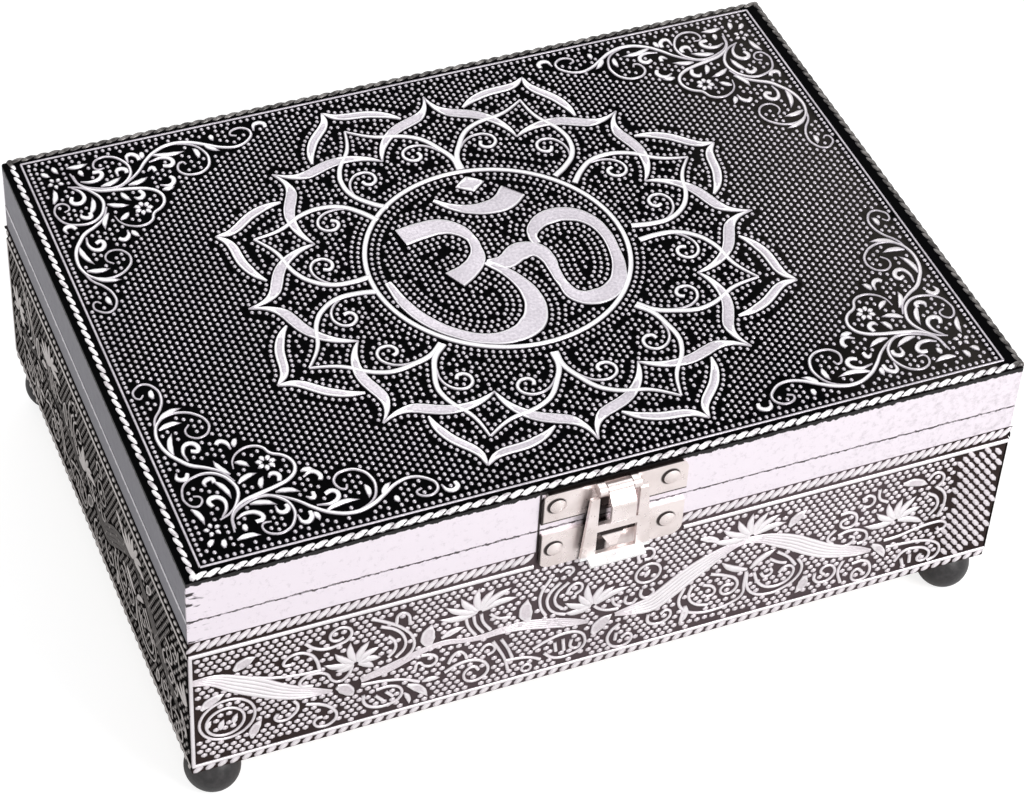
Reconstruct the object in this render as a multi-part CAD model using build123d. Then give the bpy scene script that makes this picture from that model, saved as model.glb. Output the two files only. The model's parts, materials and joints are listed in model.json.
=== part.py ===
"""Wooden card box clad in embossed white metal, with a hinged lid, a hasp latch and four ball feet.

Millimetres. X runs along the width, the front faces -Y, Z is up.
The origin is on the table, under the centre of the whole object's footprint.
"""

import os
from math import sqrt

from build123d import *

# Overall sizes
box_width = 178.0
box_depth = 128.0
body_height = 44.0
lid_height = 12.0
seam_gap = 0.3

# Wooden carcass
wall_thickness = 7.0
base_thickness = 4.0
lid_panel_thickness = 4.0
lid_rail_thickness = 7.0
edge_round_margin = 0.15

# Metal covering: relief_height is how far the raised ornament stands above the plain sheet
sheet_thickness = 0.6
relief_height = 0.4
bottom_flange_width = 2.0
top_flange_overlap = 0.3

# Ornament bands of the body, measured down from the rim
plain_band_height = 5.8
upper_rope_height = 2.8
upper_line_drop = 0.6
line_width = 0.6
lower_line_rise = 1.7
lower_rope_height = 1.6

# Ornament of the lid top
edge_rope_radius = 0.95
border_line_inset_x = 3.7
border_line_inset_y = 2.4
medallion_radius = 28.2
medallion_line_width = 1.2
medallion_centre = (-0.1, 1.5)
om_drawn_radius = 28.2
lotus_centre = (1.2, 0.2)
lotus_turn = -2.8
lotus_petals = 8
front_petal_tip = 55.2
back_petal_tip = 60.4
inner_petal_tip = 52.4

# Velvet lining
lining_thickness = 1.0
lining_inset = 0.8

# Ball feet and their screws
foot_height = 11.0
foot_ball_radius = 5.8
foot_ball_centre_height = 5.0
foot_neck_radius = 2.8
foot_inset_x = 6.2
foot_inset_y = 5.9
foot_screw_radius = 0.9
foot_screw_head_radius = 1.8
foot_screw_head_height = 1.0
foot_screw_bite = 6.0
screw_clearance = 0.05

# Brads in the carcass
brad_radius = 0.6
brad_bite = 9.0
brad_clearance = 0.03
corner_brad_heights = (0.3, 0.75)
edge_brad_positions = (0.2, 0.8)

# Hinges at the back
hinge_width = 24.0
hinge_end_inset = 31.0
hinge_leaf_thickness = 0.8
hinge_leaf_height = 8.2
hinge_knuckle_radius = 1.5
hinge_axis_offset = 1.9
hinge_pin_radius = 0.7
hinge_bore_clearance = 0.05
hinge_knuckle_gap = 0.15
hinge_leaf_relief = 0.25
hinge_nail_spacing = 15.0
hinge_nail_drop = 5.2

# Latch: upper plate on the lid, lower plate on the body, a little left of the middle
latch_centre = -1.5
plate_width = 31.0
upper_plate_height = 8.2
lower_plate_height = 9.4
plate_thickness = 0.7
plate_corner_radius = 2.5
upper_plate_rise = 2.0
lower_plate_drop = 0.9
plate_nail_spacing = 24.2
plate_pocket_clearance = 0.15

# Nails of the latch plates and hinges
nail_radius = 0.6
nail_head_radius = 1.7
nail_head_height = 0.55
nail_length = 5.0
nail_clearance = 0.04

# Hasp flap and its pin, with heights measured from the rim
hasp_axis_rise = 9.3
hasp_axis_offset = 2.05
hasp_pin_radius = 0.55
hasp_bore_clearance = 0.05
hasp_knuckle_radius = 1.15
hasp_knuckle_width = 5.2
hasp_knuckle_gap = 0.2
ear_width = 1.6
hasp_thickness = 0.8
hasp_gap = 1.4
wing_top_rise = 8.0
wing_top_half_width = 6.1
wing_inner_half_width = 4.3
flap_bottom_drop = 8.8
flap_bottom_half_width = 7.5
cross_bar_top_rise = 0.5
cross_bar_height = 2.0
bottom_bar_height = 1.2
bridge_reach = 2.3
bridge_shoulder_rise = 7.0
bridge_foot_rise = 1.8
bridge_bend_radius = 0.7
lip_half_width = 6.0
lip_reach = 2.2
lip_drop = 0.8
nub_half_width = 2.9
nub_height = 3.4
nub_reach = 1.2
nub_clearance = 0.25

# Levels and faces that follow from the sizes above
half_width = box_width / 2
half_depth = box_depth / 2
rim_z = foot_height + body_height
lid_z = rim_z + seam_gap
top_z = lid_z + lid_height
cover_thickness = sheet_thickness + relief_height
wood_half_width = half_width - cover_thickness
wood_half_depth = half_depth - cover_thickness
ground_half_width = half_width - relief_height
ground_half_depth = half_depth - relief_height
ground_top_z = top_z - relief_height
wood_top_z = top_z - cover_thickness
inner_half_width = wood_half_width - wall_thickness
inner_half_depth = wood_half_depth - wall_thickness
hinge_centre_offset = half_width - hinge_end_inset
base_top_z = foot_height + base_thickness
floor_z = base_top_z + lining_thickness
panel_bottom_z = wood_top_z - lid_panel_thickness
ceiling_z = panel_bottom_z - lining_thickness
lid_inner_half_width = wood_half_width - lid_rail_thickness
lid_inner_half_depth = wood_half_depth - lid_rail_thickness
panel_edge_round = (
    edge_rope_radius - sqrt(2) * (cover_thickness - edge_rope_radius)
) / (sqrt(2) - 1) + edge_round_margin
top_flange_z = wood_top_z - panel_edge_round - top_flange_overlap
hinge_axis_y = ground_half_depth + hinge_axis_offset
hinge_axis_z = rim_z + seam_gap / 2
hasp_axis_y = -(ground_half_depth + hasp_axis_offset)
hasp_axis_z = rim_z + hasp_axis_rise
flap_back_y = -(ground_half_depth + plate_thickness + hasp_gap)
flap_front_y = flap_back_y - hasp_thickness
front_reach = bridge_reach - flap_front_y
back_reach = hinge_axis_y + hinge_knuckle_radius
centring = Pos(0, (front_reach - back_reach) / 2, 0)
at_latch = Pos(latch_centre, 0, 0)

parts = {}


def block(x, y, z):
    """A box that spans the three (low, high) pairs."""
    size = (x[1] - x[0], y[1] - y[0], z[1] - z[0])
    middle = (x[0] + x[1]) / 2, (y[0] + y[1]) / 2, (z[0] + z[1]) / 2
    return Pos(*middle) * Box(*size)


def rod(radius, start, end):
    """A round bar from one point to another."""
    start = Vector(*start)
    along = Vector(*end) - start
    return Solid.make_cylinder(radius, along.length, Plane(origin=start, z_dir=along))


def spread(half, shares):
    """Places along a side of half length `half`, given as shares of its whole length."""
    return [half * (2 * share - 1) for share in shares]


# Wooden carcass


def corner_brad_places():
    """Centre and direction of each brad through a front or back wall into a side wall's end."""
    wall_height = rim_z - base_top_z
    for side_y in (-1, 1):
        for side_x in (-1, 1):
            for share in corner_brad_heights:
                x = side_x * (wood_half_width - wall_thickness / 2)
                yield (x, side_y * wood_half_depth, base_top_z + share * wall_height), side_y


def base_brad_places():
    """Places of the brads that come up through the base into the long walls."""
    for side_y in (-1, 1):
        for x in spread(wood_half_width, edge_brad_positions):
            yield x, side_y * (wood_half_depth - wall_thickness / 2)


def lid_brad_places():
    """Places of the brads that go down through the lid panel into the four rails."""
    for side in (-1, 1):
        for x in spread(wood_half_width, edge_brad_positions):
            yield x, side * (wood_half_depth - lid_rail_thickness / 2)
        for y in spread(wood_half_depth, edge_brad_positions):
            yield side * (wood_half_width - lid_rail_thickness / 2), y


def corner_brads(radius):
    return [
        rod(radius, (x, y, z), (x, y - side * (wall_thickness + brad_bite), z))
        for (x, y, z), side in corner_brad_places()
    ]


def base_brads(radius):
    return [
        rod(radius, (x, y, foot_height), (x, y, base_top_z + brad_bite))
        for x, y in base_brad_places()
    ]


def lid_brads(radius):
    bite = (panel_bottom_z - lid_z) / 2
    return [
        rod(radius, (x, y, wood_top_z), (x, y, panel_bottom_z - bite))
        for x, y in lid_brad_places()
    ]


def foot_places():
    for name_y, side_y in (("front", -1), ("back", 1)):
        for name_x, side_x in (("left", -1), ("right", 1)):
            x = side_x * (half_width - foot_inset_x)
            y = side_y * (half_depth - foot_inset_y)
            yield f"foot_{name_y}_{name_x}", x, y


def foot_screw(x, y, clearance=0.0):
    """A countersunk screw from inside the base down into the foot."""
    tip = foot_height - foot_screw_bite - clearance
    neck_z = base_top_z - foot_screw_head_height
    shank = rod(foot_screw_radius + clearance, (x, y, tip), (x, y, base_top_z))
    head = Pos(x, y, (neck_z + base_top_z) / 2) * Cone(
        foot_screw_radius + clearance,
        foot_screw_head_radius + clearance,
        foot_screw_head_height,
    )
    return shank + head


def build_carcass():
    """Base board, four walls and their brads."""
    brad_holes = corner_brads(brad_radius + brad_clearance)
    base_holes = base_brads(brad_radius + brad_clearance)
    wide = (-wood_half_width, wood_half_width)
    deep = (-wood_half_depth, wood_half_depth)
    between = (-inner_half_depth, inner_half_depth)
    wall_z = (base_top_z, rim_z)
    base = block(wide, deep, (foot_height, base_top_z)) - base_holes
    parts["base_board"] = base - [foot_screw(x, y, screw_clearance) for _, x, y in foot_places()]
    for name, side in (("front_wall", -1), ("back_wall", 1)):
        faces = sorted((side * inner_half_depth, side * wood_half_depth))
        wall = block(wide, faces, wall_z) - brad_holes - base_holes
        nails = latch_nails(lower=True) if side < 0 else hinge_nails(upper=False)
        parts[name] = wall - nails
    for name, side in (("left_wall", -1), ("right_wall", 1)):
        faces = sorted((side * inner_half_width, side * wood_half_width))
        parts[name] = block(faces, between, wall_z) - brad_holes
    parts["corner_brads"] = corner_brads(brad_radius)
    parts["base_brads"] = base_brads(brad_radius)


def build_feet():
    """Ball feet, each flat where it stands and joined to the base by a neck."""
    screws = []
    for name, x, y in foot_places():
        ball = Pos(x, y, foot_ball_centre_height) * Sphere(foot_ball_radius)
        reach = foot_ball_radius + foot_neck_radius
        envelope = block((x - reach, x + reach), (y - reach, y + reach), (0, foot_height))
        neck = rod(foot_neck_radius, (x, y, foot_ball_centre_height), (x, y, foot_height))
        hole = foot_screw(x, y, screw_clearance)
        parts[name] = (ball & envelope) + neck - hole
        screws.append(foot_screw(x, y))
    parts["foot_screws"] = screws


# Velvet lining


def build_lining():
    """Velvet-covered card on the floor and walls, and on the inside of the lid."""
    wide = (-inner_half_width, inner_half_width)
    deep = (-inner_half_depth, inner_half_depth)
    parts["floor_lining"] = block(wide, deep, (base_top_z, floor_z))
    line_set("", inner_half_width, inner_half_depth, (floor_z, rim_z - lining_inset))
    lid_wide = (-lid_inner_half_width, lid_inner_half_width)
    lid_deep = (-lid_inner_half_depth, lid_inner_half_depth)
    parts["lid_panel_lining"] = block(lid_wide, lid_deep, (ceiling_z, panel_bottom_z))
    lid_levels = (lid_z + lining_inset, ceiling_z)
    line_set("lid_", lid_inner_half_width, lid_inner_half_depth, lid_levels)


def line_set(prefix, half_x, half_y, z):
    """Four lining strips inside a frame of that half width and half depth."""
    for name, side in (("front", -1), ("back", 1)):
        faces = sorted((side * (half_y - lining_thickness), side * half_y))
        parts[f"{prefix}{name}_lining"] = block((-half_x, half_x), faces, z)
    reach = half_y - lining_thickness
    for name, side in (("left", -1), ("right", 1)):
        faces = sorted((side * (half_x - lining_thickness), side * half_x))
        parts[f"{prefix}{name}_lining"] = block(faces, (-reach, reach), z)


# Embossed sheets of the body


def band_levels():
    """(low, high, how far it stands proud) of each raised band on a body sheet."""
    rope_top = rim_z - plain_band_height
    rope_bottom = rope_top - upper_rope_height
    line_top = rope_bottom - upper_line_drop
    lower_line = foot_height + lower_line_rise
    return [
        (rope_bottom, rope_top),
        (line_top - line_width, line_top),
        (lower_line, lower_line + line_width),
        (foot_height - sheet_thickness, foot_height + lower_rope_height),
    ]


def body_sheet(reach, face, across):
    """One side's sheet, facing -Y: plain face, raised bands and the flange turned under the base."""
    bottom_z = foot_height - sheet_thickness
    wide = (-reach, reach)
    flange_y = (-face, -face + sheet_thickness + bottom_flange_width)
    sheet = block(wide, (-face, -face + sheet_thickness), (bottom_z, rim_z))
    flange_wide = (-across, across)
    sheet += block(flange_wide, flange_y, (bottom_z, foot_height))
    for low, high in band_levels():
        sheet += block(wide, (-face - relief_height, -face + sheet_thickness / 2), (low, high))
    return sheet


def build_body_sheets():
    """Four embossed sheets. The front and back ones run past the side ones at the corners."""
    long_side = body_sheet(ground_half_width, ground_half_depth, wood_half_width)
    flange_end = ground_half_depth - sheet_thickness - bottom_flange_width
    short_side = body_sheet(wood_half_depth, ground_half_width, flange_end)
    parts["front_sheet"] = long_side - latch_pocket() - latch_nails(lower=True)
    parts["back_sheet"] = Rot(0, 0, 180) * long_side - hinge_pockets() - hinge_nails(upper=False)
    parts["right_sheet"] = Rot(0, 0, 90) * short_side
    parts["left_sheet"] = Rot(0, 0, -90) * short_side


def latch_pocket():
    """The flat place that the lower latch plate takes out of the front relief."""
    half = plate_width / 2 + plate_pocket_clearance
    top = rim_z + seam_gap
    bottom = rim_z - lower_plate_drop - lower_plate_height - plate_pocket_clearance
    return at_latch * block((-half, half), (-half_depth - relief_height, -ground_half_depth), (bottom, top))


def hinge_pockets():
    """The flat places that the body leaves take out of the back relief."""
    half = hinge_width / 2 + plate_pocket_clearance
    bottom = hinge_axis_z - hinge_leaf_height - plate_pocket_clearance
    return [
        block((x - half, x + half), (ground_half_depth, half_depth + relief_height), (bottom, lid_z))
        for x in (-hinge_centre_offset, hinge_centre_offset)
    ]


# Lid


def panel_blank(grow, bottom):
    """The lid panel's shape with rounded upper edges, grown outwards on its sides and top."""
    half_x = wood_half_width + grow
    half_y = wood_half_depth + grow
    blank = block((-half_x, half_x), (-half_y, half_y), (bottom, wood_top_z + grow))
    upper = blank.edges().group_by(Axis.Z)[-1]
    return fillet(upper, panel_edge_round + grow)


def build_lid_carcass():
    """Lid panel, four rails and their brads."""
    holes = lid_brads(brad_radius + brad_clearance)
    wide = (-wood_half_width, wood_half_width)
    rail_z = (lid_z, panel_bottom_z)
    parts["lid_panel"] = panel_blank(0, panel_bottom_z) - holes
    for name, side in (("lid_front_rail", -1), ("lid_back_rail", 1)):
        faces = sorted((side * lid_inner_half_depth, side * wood_half_depth))
        nails = latch_nails(lower=False) if side < 0 else hinge_nails(upper=True)
        parts[name] = block(wide, faces, rail_z) - holes - nails
    between = (-lid_inner_half_depth, lid_inner_half_depth)
    for name, side in (("lid_left_rail", -1), ("lid_right_rail", 1)):
        faces = sorted((side * lid_inner_half_width, side * wood_half_width))
        parts[name] = block(faces, between, rail_z) - holes
    parts["lid_brads"] = lid_brads(brad_radius)


def build_lid_bands():
    """Plain strips round the sides of the lid, below the top sheet's turned edge."""
    level = (lid_z, top_flange_z)
    long_half = ground_half_width
    front_y = (-ground_half_depth, -wood_half_depth)
    back_y = (wood_half_depth, ground_half_depth)
    side_y = (-wood_half_depth, wood_half_depth)
    front = block((-long_half, long_half), front_y, level)
    back = block((-long_half, long_half), back_y, level)
    parts["lid_front_band"] = front - latch_nails(lower=False)
    parts["lid_back_band"] = back - hinge_nails(upper=True)
    parts["lid_left_band"] = block((-ground_half_width, -wood_half_width), side_y, level)
    parts["lid_right_band"] = block((wood_half_width, ground_half_width), side_y, level)


def edge_rope():
    """The rope that runs along the four upper edges, as a plain round bead."""
    x = half_width - edge_rope_radius
    y = half_depth - edge_rope_radius
    z = top_z - edge_rope_radius
    corners = [(-x, -y, z), (x, -y, z), (x, y, z), (-x, y, z)]
    bead = [rod(edge_rope_radius, a, b) for a, b in zip(corners, corners[1:] + corners[:1])]
    return bead + [Pos(*corner) * Sphere(edge_rope_radius) for corner in corners]


def ribbon(points, widths, turn=0.0, centre=(0.0, 0.0)):
    """A flat stroke that follows the points and swells and thins as the widths say."""
    line = Spline(*[Vector(*point) for point in points])
    stations = 2 * len(points) + 1
    left = []
    right = []
    for k in range(stations):
        share = k / (stations - 1)
        place = share * (len(widths) - 1)
        step = min(int(place), len(widths) - 2)
        width = widths[step] + (widths[step + 1] - widths[step]) * (place - step)
        across = (line % share).rotate(Axis.Z, 90) * (width / 2)
        left.append(line @ share + across)
        right.append(line @ share - across)
    outline = [
        Spline(*left),
        Line(left[-1], right[-1]),
        Spline(*right[::-1]),
        Line(right[0], left[0]),
    ]
    return Pos(*centre) * Rot(0, 0, turn) * make_face(outline)


def petal_sides(profile, tip, widths):
    """Both edges of each petal in a ring: profile runs from the foot to the tip, as shares of the tip."""
    pitch = 360 / lotus_petals
    for number in range(lotus_petals):
        for side in (-1, 1):
            points = [(along * tip, side * across * tip) for along, across in profile]
            yield points, widths, number * pitch


def lotus_ribbons():
    """Three rings of petals about the medallion."""
    front = [
        (0.665, 0.276), (0.708, 0.265), (0.76, 0.24), (0.81, 0.198), (0.84, 0.155),
        (0.862, 0.105), (0.882, 0.062), (0.916, 0.029), (0.954, 0.011), (1.0, 0.0),
    ]
    front_widths = (0.5, 1.1, 1.7, 2.2, 2.5, 2.6, 2.4, 1.5, 0.9, 0.5)
    back = [
        (0.799, 0.205), (0.839, 0.18), (0.868, 0.153), (0.893, 0.123), (0.913, 0.088),
        (0.933, 0.05), (0.957, 0.022), (0.983, 0.008), (1.0, 0.0),
    ]
    back_widths = (0.7, 1.6, 2.0, 2.1, 2.1, 2.0, 1.6, 1.0, 0.5)
    inner = [
        (0.523, 0.19), (0.592, 0.221), (0.674, 0.233), (0.761, 0.216), (0.805, 0.189),
        (0.844, 0.15), (0.889, 0.084), (0.924, 0.05), (0.964, 0.022), (1.0, 0.0),
    ]
    inner_widths = (1.3, 1.2, 1.1, 0.9, 0.7)
    half_pitch = 180 / lotus_petals
    for points, widths, turn in petal_sides(front, front_petal_tip, front_widths):
        yield ribbon(points, widths, turn + lotus_turn, lotus_centre)
    for points, widths, turn in petal_sides(back, back_petal_tip, back_widths):
        yield ribbon(points, widths, turn + lotus_turn + half_pitch, lotus_centre)
    for points, widths, turn in petal_sides(inner, inner_petal_tip, inner_widths):
        yield ribbon(points, widths, turn + lotus_turn + half_pitch, lotus_centre)


def om_strokes():
    """The Om sign, drawn with a broad pen: each stroke is (points, widths)."""
    share = medallion_radius / om_drawn_radius
    strokes = [
        ([(-17.2, 13.2), (-12.3, 13.9), (-8.3, 13.8), (-5.1, 11.7), (-3.5, 8.5), (-3.5, 5.2),
          (-4.6, 2.0), (-7.7, -0.9), (-11.3, -2.6)],
         (5.4, 5.2, 4.8, 3.5, 2.2, 2.4, 3.8, 4.6, 5.7)),
        ([(-3.2, 0.3), (-0.4, -3.7), (1.1, -7.2), (1.9, -11.5), (1.2, -16.2), (-1.4, -20.1),
          (-6.2, -22.0), (-11.6, -21.2), (-16.5, -18.0), (-20.9, -12.7), (-23.5, -6.5), (-24.6, 0.9)],
         (1.6, 2.3, 3.0, 4.0, 4.9, 5.6, 4.1, 2.9, 2.6, 2.7, 2.5, 1.6)),
        ([(-3.0, 0.3), (0.6, -0.7), (4.8, 1.3), (8.0, 0.6), (9.4, -2.6), (9.3, -6.4), (9.4, -11.0),
          (10.6, -15.2), (14.4, -16.8), (19.2, -15.1), (22.2, -10.4), (23.6, -4.2)],
         (1.4, 4.4, 5.4, 4.2, 3.2, 2.4, 2.2, 3.4, 4.6, 4.2, 3.1, 2.4)),
        ([(22.2, -10.4), (23.6, -4.2), (23.7, 1.5), (22.3, 5.8), (19.0, 8.8), (14.5, 9.4), (10.6, 7.4),
          (9.0, 4.8), (9.0, 2.4)],
         (2.8, 2.4, 2.6, 3.2, 4.2, 4.4, 3.2, 2.0, 1.9)),
        ([(-6.5, 22.0), (-3.7, 19.0), (-0.5, 17.1), (3.6, 16.3), (7.4, 17.0), (10.6, 19.7)],
         (1.0, 1.8, 2.7, 4.1, 5.4, 6.0)),
        ([(-0.5, 24.6), (2.7, 24.6), (5.9, 24.6)], (0.4, 5.2, 0.4)),
    ]
    for points, widths in strokes:
        scaled = [(x * share, y * share) for x, y in points]
        yield ribbon(scaled, [width * share for width in widths])


def top_ornament():
    """All the flat raised figures of the lid top, joined into one drawing."""
    ring = Circle(medallion_radius) - Circle(medallion_radius - medallion_line_width)
    outer = 2 * (half_width - border_line_inset_x), 2 * (half_depth - border_line_inset_y)
    border = Rectangle(*outer) - Rectangle(outer[0] - 2 * line_width, outer[1] - 2 * line_width)
    return Pos(*medallion_centre) * ring + [border, *lotus_ribbons(), *om_strokes()]


def build_lid_sheet():
    """Embossed top sheet, turned down over the lid's edges, with its rope edge and raised figures."""
    cover = panel_blank(sheet_thickness, top_flange_z)
    raised = Pos(0, 0, ground_top_z - sheet_thickness / 2) * extrude(
        top_ornament(), relief_height + sheet_thickness / 2
    )
    wood = panel_blank(0, panel_bottom_z)
    sheet = cover + edge_rope() + raised
    below = panel_bottom_z - lid_height
    inside = block(
        (-wood_half_width, wood_half_width),
        (-wood_half_depth, wood_half_depth),
        (below, panel_bottom_z),
    )
    parts["lid_sheet"] = sheet - wood - inside


# Nails of the plates and leaves


def nail(x, face_y, z, out, clearance=0.0):
    """A domed nail whose head sits on the face at face_y; out is the side that it points away from."""
    seat = out * nail_clearance if clearance else 0.0
    shank = rod(nail_radius + clearance, (x, face_y + seat, z), (x, face_y - out * nail_length, z))
    if clearance:
        return shank
    ball_radius = (nail_head_radius**2 + nail_head_height**2) / (2 * nail_head_height)
    ball = Pos(x, face_y + out * (nail_head_height - ball_radius), z) * Sphere(ball_radius)
    faces = sorted((face_y, face_y + out * nail_head_height))
    reach = nail_head_radius + nail_radius
    return shank + (ball & block((x - reach, x + reach), faces, (z - reach, z + reach)))


def latch_nail_places(lower):
    low, high = lower_plate_levels() if lower else upper_plate_levels()
    z = (low + high) / 2
    return [(latch_centre + side * plate_nail_spacing / 2, z) for side in (-1, 1)]


def latch_nails(lower, clearance=nail_clearance):
    face = -(ground_half_depth + plate_thickness)
    return [nail(x, face, z, -1, clearance) for x, z in latch_nail_places(lower)]


def hinge_nail_places(upper):
    side_z = 1 if upper else -1
    z = hinge_axis_z + side_z * hinge_nail_drop
    for centre in (-hinge_centre_offset, hinge_centre_offset):
        for side in (-1, 1):
            yield centre + side * hinge_nail_spacing / 2, z


def hinge_nails(upper, clearance=nail_clearance):
    face = ground_half_depth + hinge_leaf_thickness
    return [nail(x, face, z, 1, clearance) for x, z in hinge_nail_places(upper)]


# Hinges


def hinge_leaf(centre, upper):
    """One leaf, flat on the back, with its own share of the three knuckles."""
    side = 1 if upper else -1
    half = hinge_width / 2
    third = hinge_width / 3 / 2
    near = hinge_knuckle_radius + hinge_leaf_relief
    face_y = (ground_half_depth, ground_half_depth + hinge_leaf_thickness)
    z = sorted((hinge_axis_z + side * near, hinge_axis_z + side * hinge_leaf_height))
    leaf = block((centre - half, centre + half), face_y, z)
    if upper:
        spans = [(-third + hinge_knuckle_gap, third - hinge_knuckle_gap)]
    else:
        spans = [(-half, -third), (third, half)]
    for low, high in spans:
        span = (centre + low, centre + high)
        ends = [(x, hinge_axis_y, hinge_axis_z) for x in span]
        root = sorted((hinge_axis_z, hinge_axis_z + side * (near + hinge_leaf_relief)))
        leaf += block(span, face_y, root)
        leaf += rod(hinge_knuckle_radius, *ends)
    bore = rod(
        hinge_pin_radius + hinge_bore_clearance,
        (centre - half - 1, hinge_axis_y, hinge_axis_z),
        (centre + half + 1, hinge_axis_y, hinge_axis_z),
    )
    return leaf - bore - hinge_nails(upper)


def build_hinges():
    """Two butt hinges at the seam, each of two leaves and a pin."""
    for name, side in (("left", -1), ("right", 1)):
        centre = side * hinge_centre_offset
        half = hinge_width / 2
        parts[f"hinge_{name}_body_leaf"] = hinge_leaf(centre, upper=False)
        parts[f"hinge_{name}_lid_leaf"] = hinge_leaf(centre, upper=True)
        ends = [(centre + step, hinge_axis_y, hinge_axis_z) for step in (-half, half)]
        parts[f"hinge_{name}_pin"] = rod(hinge_pin_radius, *ends)
    parts["hinge_body_nails"] = hinge_nails(False, clearance=0)
    parts["hinge_lid_nails"] = hinge_nails(True, clearance=0)


# Latch


def upper_plate_levels():
    low = lid_z + upper_plate_rise
    return low, low + upper_plate_height


def lower_plate_levels():
    high = rim_z - lower_plate_drop
    return high - lower_plate_height, high


def latch_plate(levels, rounded_top):
    """A flat plate on the front, with its two outer corners rounded."""
    half = plate_width / 2
    face_y = (-(ground_half_depth + plate_thickness), -ground_half_depth)
    plate = block((-half, half), face_y, levels)
    corners = plate.edges().filter_by(Axis.Y).sort_by(Axis.Z)
    return fillet(corners[-2:] if rounded_top else corners[:2], plate_corner_radius)


def build_latch_plates():
    """Upper plate with two ears for the pin, and lower plate with the nub that the hasp snaps over."""
    upper = latch_plate(upper_plate_levels(), rounded_top=True)
    inner = hasp_knuckle_width / 2 + hasp_knuckle_gap
    for side in (-1, 1):
        span = sorted((side * inner, side * (inner + ear_width)))
        ends = [(x, hasp_axis_y, hasp_axis_z) for x in span]
        reach = (hasp_axis_z - hasp_knuckle_radius, hasp_axis_z + hasp_knuckle_radius)
        upper += block(span, (hasp_axis_y, -ground_half_depth), reach)
        upper += rod(hasp_knuckle_radius, *ends)
    upper -= hasp_rod(hasp_pin_radius + hasp_bore_clearance)
    parts["latch_upper_plate"] = at_latch * upper - latch_nails(lower=False)
    lower = latch_plate(lower_plate_levels(), rounded_top=False) + catch_nub()
    parts["latch_lower_plate"] = at_latch * lower - latch_nails(lower=True)
    parts["latch_upper_nails"] = latch_nails(False, clearance=0)
    parts["latch_lower_nails"] = latch_nails(True, clearance=0)
    parts["latch_pin"] = at_latch * hasp_rod(hasp_pin_radius)


def hasp_rod(radius):
    """The line of the latch pin, through both ears."""
    reach = hasp_knuckle_width / 2 + hasp_knuckle_gap + ear_width
    return rod(radius, (-reach, hasp_axis_y, hasp_axis_z), (reach, hasp_axis_y, hasp_axis_z))


def window_levels():
    """Bottom and top of the flap's window, between its two bars."""
    bottom = rim_z - flap_bottom_drop + bottom_bar_height
    return bottom, rim_z + cross_bar_top_rise - cross_bar_height


def catch_nub():
    """A wedge that points down and stands out most at its lower tip, just above the bottom bar."""
    bottom = window_levels()[0] + nub_clearance
    top = bottom + nub_height
    face = -(ground_half_depth + plate_thickness)
    root = face + plate_thickness / 2
    tip = nub_half_width / 4
    outline = [(-tip, bottom), (tip, bottom), (nub_half_width, top), (-nub_half_width, top)]
    front = Plane(origin=(0, root, 0), x_dir=(1, 0, 0), z_dir=(0, -1, 0))
    prism = extrude(front * Polygon(*outline, align=None), nub_reach + root - face)
    slope = Plane.YZ * Polygon(
        (face, top), (face - 2 * nub_reach, top), (face - 2 * nub_reach, bottom),
        (face - nub_reach, bottom), align=None,
    )
    return prism - extrude(slope, nub_half_width, both=True)


def flap_outline():
    """The flap's flat part, seen from the front, with its window and the room for the bridge."""
    top = rim_z + wing_top_rise
    bottom = rim_z - flap_bottom_drop
    window_bottom, window_top = window_levels()
    outline = Polygon(
        (-flap_bottom_half_width, bottom), (flap_bottom_half_width, bottom),
        (wing_top_half_width, top), (-wing_top_half_width, top), align=None,
    )
    slot_bottom = rim_z + cross_bar_top_rise
    slot = Pos(0, (slot_bottom + top) / 2) * Rectangle(2 * wing_inner_half_width, top - slot_bottom)
    middle = (window_bottom + window_top) / 2
    window = Pos(0, middle) * Rectangle(2 * wing_inner_half_width, window_top - window_bottom)
    return outline - slot - window


def build_hasp():
    """Stamped flap: wings, bars, bowed bridge, rolled knuckle and thumb lip."""
    back = Plane(origin=(0, flap_back_y, 0), x_dir=(1, 0, 0), z_dir=(0, -1, 0))
    flap = extrude(back * flap_outline(), hasp_thickness)
    half = hasp_knuckle_width / 2
    middle_y = flap_back_y - hasp_thickness / 2
    crest_y = flap_front_y - bridge_reach + hasp_thickness / 2
    bottom = rim_z - flap_bottom_drop
    bridge_line = FilletPolyline(
        (hasp_axis_y - (hasp_knuckle_radius - hasp_thickness / 2), hasp_axis_z),
        (crest_y, rim_z + bridge_shoulder_rise),
        (crest_y, rim_z + bridge_foot_rise + bridge_reach / 2),
        (middle_y, rim_z + cross_bar_top_rise),
        (middle_y, rim_z + cross_bar_top_rise - cross_bar_height),
        radius=bridge_bend_radius,
    )
    lip_line = FilletPolyline(
        (middle_y, bottom + bottom_bar_height),
        (middle_y, bottom + hasp_thickness / 2),
        (flap_front_y - lip_reach + hasp_thickness / 2, bottom - lip_drop + hasp_thickness / 2),
        radius=bridge_bend_radius,
    )
    for line, width in ((bridge_line, half), (lip_line, lip_half_width)):
        strap = Plane.YZ * trace(line, line_width=hasp_thickness)
        flap += extrude(strap, width, both=True)
    flap += rod(hasp_knuckle_radius, (-half, hasp_axis_y, hasp_axis_z), (half, hasp_axis_y, hasp_axis_z))
    parts["hasp"] = at_latch * (flap - hasp_rod(hasp_pin_radius + hasp_bore_clearance))


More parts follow.
